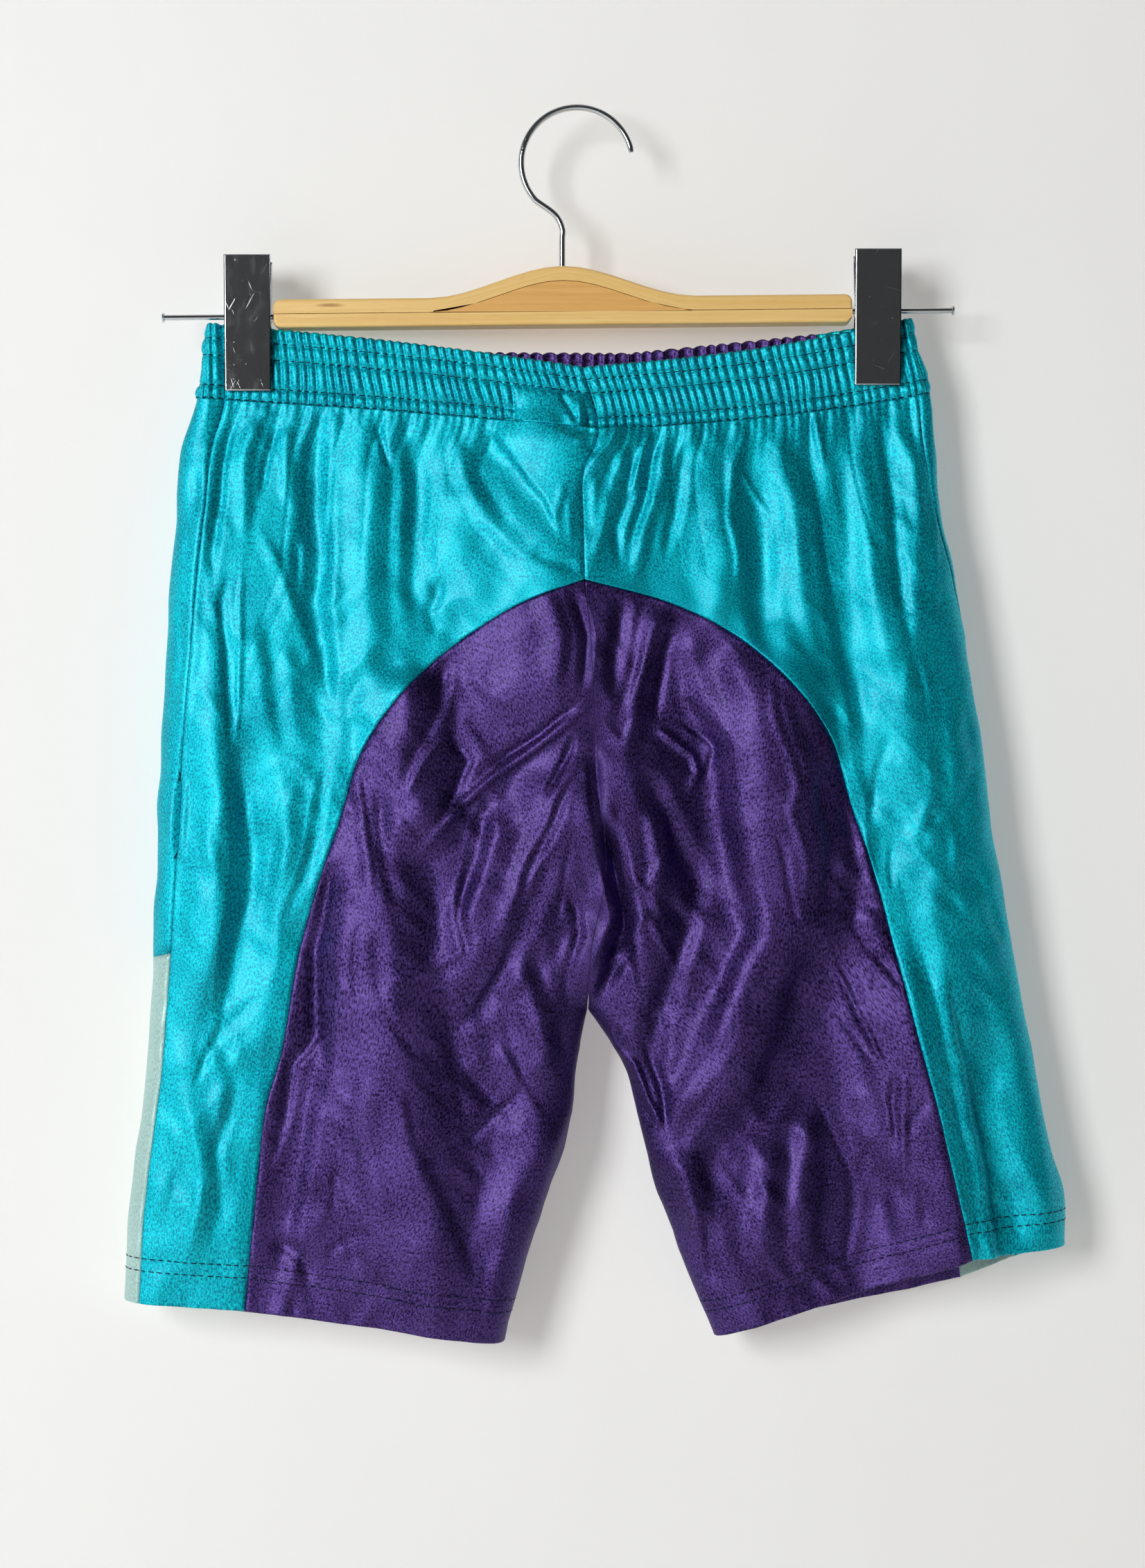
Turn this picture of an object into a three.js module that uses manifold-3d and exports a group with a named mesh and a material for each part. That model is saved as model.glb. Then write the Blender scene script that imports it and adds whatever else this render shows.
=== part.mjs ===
// Cycling shorts hung from a wooden clip hanger. Millimetres, +Z up, -Y to the viewer.
// The origin is the inner top of the hook, where a rail carries the hanger.
import * as THREE from 'three';
import { mergeVertices } from 'three/addons/utils/BufferGeometryUtils.js';
import Module from 'manifold-3d';

const wasm = await Module();
wasm.setup();

// ---- Driving dimensions ----
const GAP = 0.3; // running gap between two touching pieces
const SIDE_GAP = 0.6; // the same along a side seam, which crosses the rounded edge
const SECTION_GAP = 0.006; // half a gap across the sections, as a fraction of one
const CLOTH = 1.2; // wall of a single layer of knit
const CASING = 2.7; // wall of the waist casing with its elastic
const GRIP = 2.9; // half depth of the waist where a clip pinches it
const PLEAT_PITCH = 6.4; // from one pleat of the casing to the next
const PLEAT_DEPTH = 0.6;
const WAIST_OPEN = 6; // how far each waist layer stands off between the clips
const SIDE_LOOP = 1.5; // the same between a clip and the side of the waist
const SIDE_LOOP_RUN = 8; // width over which it opens beside the clip
const GRIP_END = -131; // below this height the pinched cloth opens out
const HIP_START = -212; // and from this height down it has its full depth
const ROW_STEP = 0.5; // fraction of a section between two rows of the walls
const WAIST_BOW = { left: 1.5, right: -3.5 }; // rise of each front half's waist line at its middle
const BOW_END = 4; // section where that bow has run out

const WIRE = 1.5; // radius of the hook's wire
const HOOK_RADIUS = 25.7; // of the wire's centre line
const HOOK_CENTRE = { x: 3, z: -24.2 };
const HOOK_TIP_ANGLE = 11;
const HOOK_END_ANGLE = 222;
const SHANK = { x: -3.8, kneeX: -7.2, kneeZ: -48, bendZ: -54.5, straightZ: -60 };
const BAR_TILT = 0.53; // degrees that the bar's right end stands high
const BAR = { left: -136.6, right: 129.6, thick: 12.5, bottom: -99.9, low: 6, strip: 6.7, corner: 2 };
const HUMP = { rise: 14.2, half: 61 };
const ROD = { radius: 1.3, left: -188.5, right: 177.3, z: -94, head: 2.25, headThick: 1.2, grip: 12 };
const BORE_SPARE = 2; // depth of each bore beyond the piece in it
const CLIP = {
  left: -148.3,
  right: 141.2,
  width: 21.2,
  above: 27.1,
  below: 34.9,
  sheet: 0.8,
  lean: 0.058, // rise of a jaw's web per unit of height
  ear: 3, // half height of the ear where it reaches round the rod
  earTail: 2.2, // how far the ear reaches past the rod
  earNeck: 0.8, // where the ear narrows in front of the rod
  earShoulder: 9, // height above the rod where the ear meets the web's flange
  flangeTop: 1.5, // width of the flange at the top
  flangeFoot: 0.6, // and at the foot
  padHeight: 12,
  padThick: 1.2,
  padFoot: 2, // from the foot of the jaw to the pad
};
const SPRING = { radius: 3.2, half: 5.5 }; // outer radius and half width of the coil

const COLOURS = {
  teal: { color: 0x00a3a8, roughness: 0.42, metalness: 0 },
  purple: { color: 0x46327a, roughness: 0.42, metalness: 0 },
  mint: { color: 0xabd5cf, roughness: 0.45, metalness: 0 },
  wood: { color: 0xd9a55a, roughness: 0.5, metalness: 0 },
  infill: { color: 0xb97f45, roughness: 0.5, metalness: 0 },
  chrome: { color: 0x9a9ca0, roughness: 0.12, metalness: 1 },
  rubber: { color: 0x2a2a2a, roughness: 0.8, metalness: 0 },
};

// ---- The cut of the shorts: points on the seams, one row for each section, waist first ----
const ARCH_TOP = 4; // section where the arch seam meets the centre front
const CROTCH = 11;
const HEM = 15;
const MINT_TOP = 10.5; // section where the mint wedge begins

// Columns: x, z. Sections 0 to 11.
const CENTRE_FRONT = [
  [5.8, -120.5],
  [13, -148.5],
  [6, -168.5],
  [6, -191],
  [6.5, -218],
  [9, -240.5],
  [10.5, -268.5],
  [12.5, -297],
  [14.5, -326],
  [15.5, -354.5],
  [9.5, -387],
  [8, -414.7],
];
const CENTRE_BACK = [
  [27, -112],
  [27, -141],
  [27, -168],
  [26, -197],
  [25, -224],
  [24, -251],
  [22, -277],
  [20, -303],
  [17.5, -329],
  [14.5, -356],
  [11, -386],
  [8, -414.7],
];

// Columns: x, z of the inner leg (sections 11 to 15) and of the arch seam (sections 4 to 15).
const INNER_LEG = {
  left: [
    [8, -414.7],
    [3.5, -440],
    [0, -468],
    [-14, -510],
    [-30.5, -568],
  ],
  right: [
    [8, -414.7],
    [24.5, -440],
    [33, -475],
    [48, -520],
    [66.5, -565.5],
  ],
};
const ARCH = {
  left: [
    [6.5, -218],
    [-24, -229.5],
    [-55.5, -249.5],
    [-79, -272.5],
    [-96, -298],
    [-105, -327],
    [-116, -359.5],
    [-124.5, -390],
    [-131.5, -431],
    [-139.5, -461.5],
    [-144.5, -506],
    [-149, -552],
  ],
  right: [
    [6.5, -218],
    [43.5, -227.5],
    [74.5, -242.5],
    [100, -264.5],
    [119, -290],
    [128.5, -321],
    [138.5, -350.5],
    [148.5, -389],
    [158.5, -429],
    [167.5, -461.5],
    [176, -498],
    [183, -528],
  ],
};

// Columns: x and z of the outer edge, how far the side seam lies in front of it (behind it where
// negative), and x and z of the back seam between the seat and the side. Sections 0 to 15.
const SIDES = {
  left: [
    [-168, -99.3, 7, -60, -111.5],
    [-172.5, -133, 13, -62, -141],
    [-179, -156, 14, -68, -166],
    [-181.5, -183, 14, -76, -192],
    [-184.3, -212, 13.5, -85, -220],
    [-186, -238, 13, -93, -247],
    [-187.5, -264, 12.5, -101, -275],
    [-189, -290, 12, -108, -303],
    [-190, -316, 11, -115, -331],
    [-191, -343, 10.5, -121, -360],
    [-191.8, -374, 9.5, -127, -392],
    [-193.5, -408, 9, -132, -426],
    [-196.2, -443, 8.8, -138, -458],
    [-199.5, -475, 8, -144, -490],
    [-204, -511, 8, -151, -523],
    [-206.3, -548.5, 8.3, -158, -557],
  ],
  right: [
    [157, -97, 4, 113.5, -104],
    [166.4, -131, 7, 114, -136],
    [168.5, -156, 5.5, 117, -162],
    [171, -182, 3.5, 122, -190],
    [176.5, -213, 1.5, 127, -218],
    [181.5, -243, -0.5, 132, -246],
    [187, -272, -3, 137, -274],
    [191, -303, -6, 142, -303],
    [194.3, -330, -9, 147, -332],
    [199.5, -357, -12, 152, -361],
    [203.5, -385, -14, 157, -391],
    [209, -415, -16, 162, -422],
    [214.5, -443, -18, 167, -452],
    [221, -474, -20, 172, -482],
    [228, -504, -21, 177, -513],
    [228, -523.7, -22, 181.8, -541],
  ],
};

// Depth of the flattened tubes. Columns: height, half depth, radius of the rounded edge.
const DEPTHS = [
  [-97, 8, 5],
  [-133, 8, 6],
  [-165, 10, 14],
  [-215, 12, 24],
  [-300, 13.5, 28],
  [-415, 13, 26],
  [-570, 12, 22],
];

// The largest folds. Columns: side (-1 front, 1 back), start x and z, end x and z, half width,
// height (outward where positive).
const FOLDS = [
  [-1, -42, -147, -9, -188, 9, -3],
  [-1, -56, -160, -18, -213, 10, 3],
  [-1, 27, -152, 10, -209, 8, 3],
  [-1, 55, -155, 41, -209, 9, -2.5],
  [-1, -144, -195, -103, -293, 10, -2.5],
  [-1, -141, -228, -131, -300, 12, -2.5],
  [-1, 97, -150, 117, -262, 12, 3],
  [-1, 111, -152, 130, -310, 11, -3],
  [-1, 130, -150, 144, -256, 11, 3],
  [-1, -138, -408, -172, -452, 9, -2.5],
  [-1, 18, -352, 9, -408, 12, -5],
  [-1, 44, -300, 84, -345, 14, -3.5],
  [-1, 60, -420, 92, -505, 14, -3.5],
  [-1, -92, -330, -40, -405, 12, 3],
  [-1, -110, -500, -60, -440, 12, -3],
  [1, 60, -160, 82, -270, 12, -3],
  [1, -30, -160, -48, -280, 12, 3],
  [1, -140, -200, -128, -330, 12, -3],
  [1, 90, -430, 60, -330, 13, -3.5],
  [1, -96, -360, -60, -470, 13, 3],
  [1, 150, -200, 168, -330, 12, 3],
];

// ---- Shared helpers ----
const HALVES = ['left', 'right'];
const outwards = (half) => (half === 'left' ? -1 : 1);
const clamp01 = (value) => Math.min(1, Math.max(0, value));
const smooth = (value) => clamp01(value) ** 2 * (3 - 2 * clamp01(value));

/** Value of every column of a table at a fractional row, on a Catmull-Rom spline. */
function rowAt(table, row) {
  const last = table.length - 1;
  const index = Math.min(last - 1, Math.max(0, Math.floor(row)));
  const t = row - index;
  return table[index].map((_, column) => {
    const at = (i) => {
      if (i < 0) return 2 * table[0][column] - table[1][column];
      if (i > last) return 2 * table[last][column] - table[last - 1][column];
      return table[i][column];
    };
    const [a, b, c, d] = [at(index - 1), at(index), at(index + 1), at(index + 2)];
    const cubic = 3 * b - 3 * c + d - a;
    const square = 2 * a - 5 * b + 4 * c - d;
    return b + 0.5 * t * (c - a + t * (square + t * cubic));
  });
}

/** Half depth and edge radius of the tubes at a height. */
function depthAt(z) {
  const above = DEPTHS.findLastIndex(([height]) => height >= z);
  const index = Math.min(DEPTHS.length - 2, Math.max(0, above));
  const [top, bottom] = [DEPTHS[index], DEPTHS[index + 1]];
  const t = clamp01((top[0] - z) / (top[0] - bottom[0]));
  return { half: top[1] + (bottom[1] - top[1]) * t, round: top[2] + (bottom[2] - top[2]) * t };
}

/** Half depth of the waist: pinched at the clips, open between and beside them. */
function waistDepth(x) {
  const reach = CLIP.width / 2 + 1;
  const inner = (x - CLIP.left - reach) / (CLIP.right - CLIP.left - 2 * reach);
  if (inner > 0 && inner < 1) return GRIP + WAIST_OPEN * Math.sin(Math.PI * inner);
  const beyond = Math.max(CLIP.left - reach - x, x - CLIP.right - reach, 0);
  return GRIP + SIDE_LOOP * smooth(beyond / SIDE_LOOP_RUN);
}

function halfDepth(x, z) {
  const opened = smooth((GRIP_END - z) / (GRIP_END - HIP_START));
  return THREE.MathUtils.lerp(waistDepth(x), depthAt(z).half, opened);
}

/** Height of the folds at a point of the front (-1) or back (1). */
function foldHeight(side, x, z) {
  let height = 0;
  for (const [at, x0, z0, x1, z1, width, rise] of FOLDS) {
    if (at !== side) continue;
    const [dx, dz] = [x1 - x0, z1 - z0];
    const along = clamp01(((x - x0) * dx + (z - z0) * dz) / (dx * dx + dz * dz));
    const off = Math.hypot(x - x0 - along * dx, z - z0 - along * dz) / width;
    height += rise * smooth(1 - off);
  }
  return height;
}

// ---- Points of the cloth ----
/** Arc length from the outer edge turned into an in-plane distance and an edge angle. */
function edgeRound(arc, radius) {
  const turn = Math.min(Math.PI / 2, Math.abs(arc) / radius);
  const straight = Math.max(0, Math.abs(arc) - (radius * Math.PI) / 2);
  return { turn, inward: radius * (1 - Math.cos(turn)) + straight };
}

function edgeArc(inward, radius) {
  const turn = Math.acos(1 - clamp01(Math.abs(inward) / radius));
  return Math.sign(inward) * (turn * radius + Math.max(0, Math.abs(inward) - radius));
}

/** Angle of the tube's closing at the crotch and the inner legs: a right angle where it is open. */
function crotchTurn(x, z) {
  const [crotchX, crotchZ] = CENTRE_FRONT[CROTCH];
  const away = Math.hypot(x - crotchX, Math.max(0, z - crotchZ));
  return z < crotchZ ? Math.PI / 2 : Math.acos(1 - clamp01(away / depthAt(z).round));
}

/** One wall point: outer and inner position, from a place in plan and the tube's closing. */
function wallPoint(x, z, side, turn, inwardX, inwardZ, thick) {
  const closing = Math.sin(turn);
  const y = side * (halfDepth(x, z) + foldHeight(side, x, z)) * closing;
  const slide = thick * Math.cos(turn);
  return {
    outer: new THREE.Vector3(x, y, z),
    inner: new THREE.Vector3(x + inwardX * slide, y - side * thick * closing, z + inwardZ * slide),
  };
}

/** Seam point moved off the seam in plan, for the gap to the next piece. */
function seamPoint(curve, section, offset) {
  const step = 0.02;
  const [x0, z0] = curve(section - step);
  const [x1, z1] = curve(section + step);
  const length = Math.hypot(x1 - x0, z1 - z0);
  const [x, z] = curve(section);
  return [x - (offset * (z1 - z0)) / length, z + (offset * (x1 - x0)) / length];
}

const centreFront = (section) => rowAt(CENTRE_FRONT, section);
const centreBack = (section) => rowAt(CENTRE_BACK, section);
const arch = (half) => (section) => rowAt(ARCH[half], section - ARCH_TOP);
const innerLeg = (half) => (section) => rowAt(INNER_LEG[half], section - CROTCH);
const outerEdge = (half) => (section) => rowAt(SIDES[half], section).slice(0, 2);
const backSeam = (half) => (section) => rowAt(SIDES[half], section).slice(3);
const sideReach = (half, section) => rowAt(SIDES[half], section)[2];

const waistBow = (half, section, part) =>
  WAIST_BOW[half] * Math.sin(Math.PI * clamp01(part)) * clamp01(1 - section / BOW_END);

/** Point of a ring that turns round the outer edge: arc is positive in front, negative behind. */
function ringPoint(half, section, arc, ends, thick, lift = 0) {
  const side = arc > 0 ? -1 : 1;
  const [outerX, outerZ] = outerEdge(half)(section);
  const [endX, endZ] = arc > 0 ? ends.front : ends.back;
  const length = Math.hypot(endX - outerX, endZ - outerZ);
  const [inX, inZ] = [(endX - outerX) / length, (endZ - outerZ) / length];
  const { turn, inward } = edgeRound(arc, depthAt(outerZ).round);
  const bow = side < 0 ? waistBow(half, section, inward / length) : 0;
  const [x, z] = [outerX + inX * inward, outerZ + inZ * inward + bow];
  const point = wallPoint(x, z, side, turn, inX, inZ, thick);
  point.outer.y += side * lift * Math.sin(turn);
  point.outer.x -= inX * lift * Math.cos(turn);
  return point;
}

/** Rows of sections between two, with the step of the walls. */
function sections(from, to) {
  const rows = [from];
  for (let row = Math.floor(from / ROW_STEP) * ROW_STEP + ROW_STEP; row < to - 0.01; row += ROW_STEP) {
    if (row > from + 0.1) rows.push(row);
  }
  return [...rows, to];
}

// ---- Solids from walls ----
/** Closed wall from a grid of { outer, inner } points. */
function wallGeometry(grid) {
  const rows = grid.length;
  const columns = grid[0].length;
  const positions = [];
  for (const layer of ['outer', 'inner']) {
    for (const row of grid) row.forEach((point) => positions.push(...point[layer].toArray()));
  }
  const at = (layer, row, column) => layer * rows * columns + row * columns + column;
  const triangles = [];
  const quad = (a, b, c, d) => triangles.push(a, b, c, a, c, d);
  for (let row = 0; row < rows - 1; row++) {
    for (let column = 0; column < columns - 1; column++) {
      const corner = (layer) => [
        at(layer, row, column),
        at(layer, row, column + 1),
        at(layer, row + 1, column + 1),
        at(layer, row + 1, column),
      ];
      quad(...corner(0));
      quad(...corner(1).reverse());
    }
  }
  const rim = [];
  for (let column = 0; column < columns - 1; column++) rim.push([0, column]);
  for (let row = 0; row < rows - 1; row++) rim.push([row, columns - 1]);
  for (let column = columns - 1; column > 0; column--) rim.push([rows - 1, column]);
  for (let row = rows - 1; row > 0; row--) rim.push([row, 0]);
  rim.forEach(([row, column], index) => {
    const [nextRow, nextColumn] = rim[(index + 1) % rim.length];
    quad(at(1, row, column), at(1, nextRow, nextColumn), at(0, nextRow, nextColumn), at(0, row, column));
  });
  const geometry = new THREE.BufferGeometry();
  geometry.setAttribute('position', new THREE.Float32BufferAttribute(positions, 3));
  geometry.setIndex(signedVolume(positions, triangles) < 0 ? triangles.reverse() : triangles);
  geometry.computeVertexNormals();
  return geometry;
}

function signedVolume(positions, triangles) {
  const corner = (index) => new THREE.Vector3().fromArray(positions, 3 * index);
  let volume = 0;
  for (let i = 0; i < triangles.length; i += 3) {
    const [a, b, c] = [corner(triangles[i]), corner(triangles[i + 1]), corner(triangles[i + 2])];
    volume += a.dot(b.cross(c));
  }
  return volume;
}

const spread = (count) => Array.from({ length: count + 1 }, (_, index) => index / count);

function addMesh(parent, name, geometry, finish) {
  const mesh = new THREE.Mesh(geometry, new THREE.MeshStandardMaterial(COLOURS[finish]));
  mesh.name = name;
  parent.add(mesh);
  return mesh;
}

// ---- Panels of the shorts ----
/** Panel from the centre front or arch seam to the side seam, round the edge where that lies behind. */
function frontHip(half) {
  const columns = 8;
  const out = outwards(half);
  const grid = sections(1 + SECTION_GAP, HEM).map((section) => {
    const seam = section <= ARCH_TOP ? centreFront : arch(half);
    const front = seamPoint(seam, section, (out * GAP) / 2);
    const back = backSeam(half)(section);
    return hipRow(half, section, front, back, columns);
  });
  return wallGeometry(grid);
}

function hipRow(half, section, front, back, columns) {
  const [outerX, outerZ] = outerEdge(half)(section);
  const { round } = depthAt(outerZ);
  const start = edgeArc(Math.hypot(front[0] - outerX, front[1] - outerZ), round);
  const end = edgeArc(sideReach(half, section), round) + SIDE_GAP / 2;
  return spread(columns).map((part) => {
    const arc = THREE.MathUtils.lerp(start, end, part);
    return ringPoint(half, section, arc, { front, back }, CLOTH);
  });
}

/** Panel from the side seam round the outer edge to the back seam, between two sections. */
function backOuter(half, from, to) {
  const columns = 7;
  const out = outwards(half);
  const grid = sections(from, to).map((section) => {
    const seam = section <= ARCH_TOP ? centreFront : arch(half);
    const front = seam(section);
    const back = seamPoint(backSeam(half), section, (out * GAP) / 2);
    const [outerX, outerZ] = outerEdge(half)(section);
    const { round } = depthAt(outerZ);
    const start = edgeArc(sideReach(half, section), round) - SIDE_GAP / 2;
    const end = -edgeArc(Math.hypot(back[0] - outerX, back[1] - outerZ), round);
    return spread(columns).map((part) => {
      const arc = THREE.MathUtils.lerp(start, end, part);
      return ringPoint(half, section, arc, { front, back }, CLOTH);
    });
  });
  return wallGeometry(grid);
}

/** Panel from the centre seam, then the inner leg, out to another seam, in front or behind. */
function innerPanel(half, side, centre, seam, from) {
  const columns = 7;
  const out = outwards(half);
  const grid = sections(from, HEM).map((section) => {
    const inLeg = section >= CROTCH;
    const edge = seamPoint(inLeg ? innerLeg(half) : centre, section, (out * GAP) / 2);
    const end = seamPoint(seam, section, (-out * GAP) / 2);
    const length = Math.hypot(end[0] - edge[0], end[1] - edge[1]);
    const [outX, outZ] = [(end[0] - edge[0]) / length, (end[1] - edge[1]) / length];
    const { round } = depthAt(edge[1]);
    const radius = Math.min(round, length / 2);
    const full = edgeArc(length, radius);
    return spread(columns).map((part) => {
      const arc = THREE.MathUtils.lerp(inLeg ? GAP : 0, full, part);
      const { turn, inward } = edgeRound(arc, radius);
      const [x, z] = [edge[0] + outX * inward, edge[1] + outZ * inward];
      return wallPoint(x, z, side, inLeg ? turn : crotchTurn(x, z), outX, outZ, CLOTH);
    });
  });
  return wallGeometry(grid);
}

function addPanels(parent) {
  for (const half of HALVES) {
    addMesh(parent, `front_hip_${half}`, frontHip(half), 'teal');
    const leg = innerPanel(half, -1, centreFront, arch(half), ARCH_TOP + 0.1);
    addMesh(parent, `front_leg_${half}`, leg, 'purple');
    const seat = innerPanel(half, 1, centreBack, backSeam(half), 1 + SECTION_GAP);
    addMesh(parent, `back_seat_${half}`, seat, 'purple');
    addMesh(parent, `back_hip_${half}`, backOuter(half, 1 + SECTION_GAP, MINT_TOP - SECTION_GAP), 'teal');
    addMesh(parent, `back_side_${half}`, backOuter(half, MINT_TOP + SECTION_GAP, HEM), 'mint');
  }
}

// ---- Waist casing, in upright pleats ----
const CASING_SECTIONS = [0, 1 - SECTION_GAP];

function pleatCount(length) {
  return 2 * Math.max(2, Math.round(length / PLEAT_PITCH));
}

/** Teal casing that follows the ring between two named places of it. */
function ringCasing(half, from, to) {
  const [topX, topZ] = outerEdge(half)(0);
  const reach = {
    centreFront: Math.hypot(centreFront(0)[0] - topX, centreFront(0)[1] - topZ),
    side: sideReach(half, 0),
    backSeam: -Math.hypot(backSeam(half)(0)[0] - topX, backSeam(half)(0)[1] - topZ),
  };
  const pleats = pleatCount(reach[from] - reach[to]);
  const grid = CASING_SECTIONS.map((section) => {
    const [outerX, outerZ] = outerEdge(half)(section);
    const { round } = depthAt(outerZ);
    const ends = { front: centreFront(section), back: backSeam(half)(section) };
    const arcTo = ([x, z]) => edgeArc(Math.hypot(x - outerX, z - outerZ), round);
    const place = {
      centreFront: arcTo(ends.front),
      side: edgeArc(sideReach(half, section), round),
      backSeam: -arcTo(ends.back),
    };
    return spread(pleats).map((part, index) => {
      const arc = THREE.MathUtils.lerp(place[from] - GAP / 2, place[to] + GAP / 2, part);
      return ringPoint(half, section, arc, ends, CASING, index % 2 ? PLEAT_DEPTH : 0);
    });
  });
  return wallGeometry(grid);
}

/** Purple casing of the back, from the back seam to the centre. */
function seatCasing(half) {
  const inwards = -outwards(half);
  const pleats = pleatCount(Math.abs(backSeam(half)(0)[0] - centreBack(0)[0]));
  const grid = CASING_SECTIONS.map((section) => {
    const [fromX, fromZ] = backSeam(half)(section);
    const [toX, toZ] = centreBack(section);
    return spread(pleats).map((part, index) => {
      const x = THREE.MathUtils.lerp(fromX + (inwards * GAP) / 2, toX - (inwards * GAP) / 2, part);
      const z = THREE.MathUtils.lerp(fromZ, toZ, part);
      const point = wallPoint(x, z, 1, Math.PI / 2, 0, 0, CASING);
      point.outer.y += index % 2 ? PLEAT_DEPTH : 0;
      return point;
    });
  });
  return wallGeometry(grid);
}

function addWaist(parent) {
  for (const half of HALVES) {
    addMesh(parent, `waist_front_${half}`, ringCasing(half, 'centreFront', 'side'), 'teal');
    addMesh(parent, `waist_side_${half}`, ringCasing(half, 'side', 'backSeam'), 'teal');
    addMesh(parent, `waist_back_${half}`, seatCasing(half), 'purple');
  }
}

// ---- Solids for the hanger ----
function toSolid(geometry) {
  const bare = geometry.clone();
  bare.deleteAttribute('normal');
  bare.deleteAttribute('uv');
  const merged = mergeVertices(bare, 1e-4);
  return new wasm.Manifold(
    new wasm.Mesh({
      numProp: 3,
      vertProperties: new Float32Array(merged.attributes.position.array),
      triVerts: new Uint32Array(merged.index.array),
    }),
  );
}

function toGeometry(solid) {
  const mesh = solid.getMesh();
  const geometry = new THREE.BufferGeometry();
  geometry.setAttribute('position', new THREE.BufferAttribute(new Float32Array(mesh.vertProperties), 3));
  geometry.setIndex([...mesh.triVerts]);
  geometry.computeVertexNormals();
  return geometry;
}

/** Outline in X and Z, extruded through a thickness centred on a plane y. */
function plate(points, thick, y = 0) {
  const shape = new THREE.Shape(points.map(([x, z]) => new THREE.Vector2(x, z)));
  const geometry = new THREE.ExtrudeGeometry(shape, { depth: thick, bevelEnabled: false });
  geometry.rotateX(Math.PI / 2);
  return geometry.translate(0, y + thick / 2, 0);
}

/** Round bar along X. */
function barAlongX(radius, from, to, z, segments = 16) {
  const geometry = new THREE.CylinderGeometry(radius, radius, to - from, segments);
  return geometry.rotateZ(Math.PI / 2).translate((from + to) / 2, 0, z);
}

function hook() {
  const points = [];
  const arcSteps = 22;
  for (let step = 0; step <= arcSteps; step++) {
    const angle = THREE.MathUtils.degToRad(
      THREE.MathUtils.lerp(HOOK_TIP_ANGLE, HOOK_END_ANGLE, step / arcSteps),
    );
    const x = HOOK_CENTRE.x + HOOK_RADIUS * Math.cos(angle);
    points.push(new THREE.Vector3(x, 0, HOOK_CENTRE.z + HOOK_RADIUS * Math.sin(angle)));
  }
  points.push(new THREE.Vector3(SHANK.kneeX, 0, SHANK.kneeZ));
  for (const z of [SHANK.bendZ, SHANK.straightZ, barTop(0), barTop(0) - ROD.grip]) {
    points.push(new THREE.Vector3(SHANK.x, 0, z));
  }
  const path = new THREE.CatmullRomCurve3(points, false, 'centripetal');
  const section = new THREE.Shape().absarc(0, 0, WIRE, 0, 2 * Math.PI);
  const options = { steps: 44, extrudePath: path, bevelEnabled: false, curveSegments: 5 };
  return new THREE.ExtrudeGeometry(section, options);
}

/** Rise of the bent strip above the straight one, at a distance from the bar's middle. */
const humpRise = (offset) => HUMP.rise * smooth(1 - Math.abs(offset) / HUMP.half);
const barTop = (offset) => BAR.bottom + BAR.low + GAP + humpRise(offset) + BAR.strip;

function barPieces() {
  const middle = (BAR.left + BAR.right) / 2;
  const lowTop = BAR.bottom + BAR.low;
  const offsets = spread(16).map((part) => THREE.MathUtils.lerp(-HUMP.half, HUMP.half, part));
  const { corner } = BAR;
  const low = [
    [BAR.left, lowTop],
    [BAR.left, BAR.bottom + corner],
    [BAR.left + corner, BAR.bottom],
    [BAR.right - corner, BAR.bottom],
    [BAR.right, BAR.bottom + corner],
    [BAR.right, lowTop],
  ];
  const under = offsets.map((offset) => [middle + offset, lowTop + GAP + humpRise(offset)]);
  const over = offsets.map((offset) => [middle + offset, barTop(offset)]).reverse();
  const up = [
    [BAR.left, lowTop + GAP],
    ...under,
    [BAR.right, lowTop + GAP],
    [BAR.right, barTop(HUMP.half) - corner],
    [BAR.right - corner, barTop(HUMP.half)],
    ...over,
    [BAR.left + corner, barTop(HUMP.half)],
    [BAR.left, barTop(HUMP.half) - corner],
  ];
  const lens = offsets
    .slice(2, -2)
    .map((offset) => [middle + offset, lowTop + humpRise(offset)])
    .reverse();
  const [lensRight, lensLeft] = [lens[0][0], lens[lens.length - 1][0]];
  const fill = [[lensLeft, lowTop + GAP], [lensRight, lowTop + GAP], ...lens];
  return { low, up, fill };
}

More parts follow.
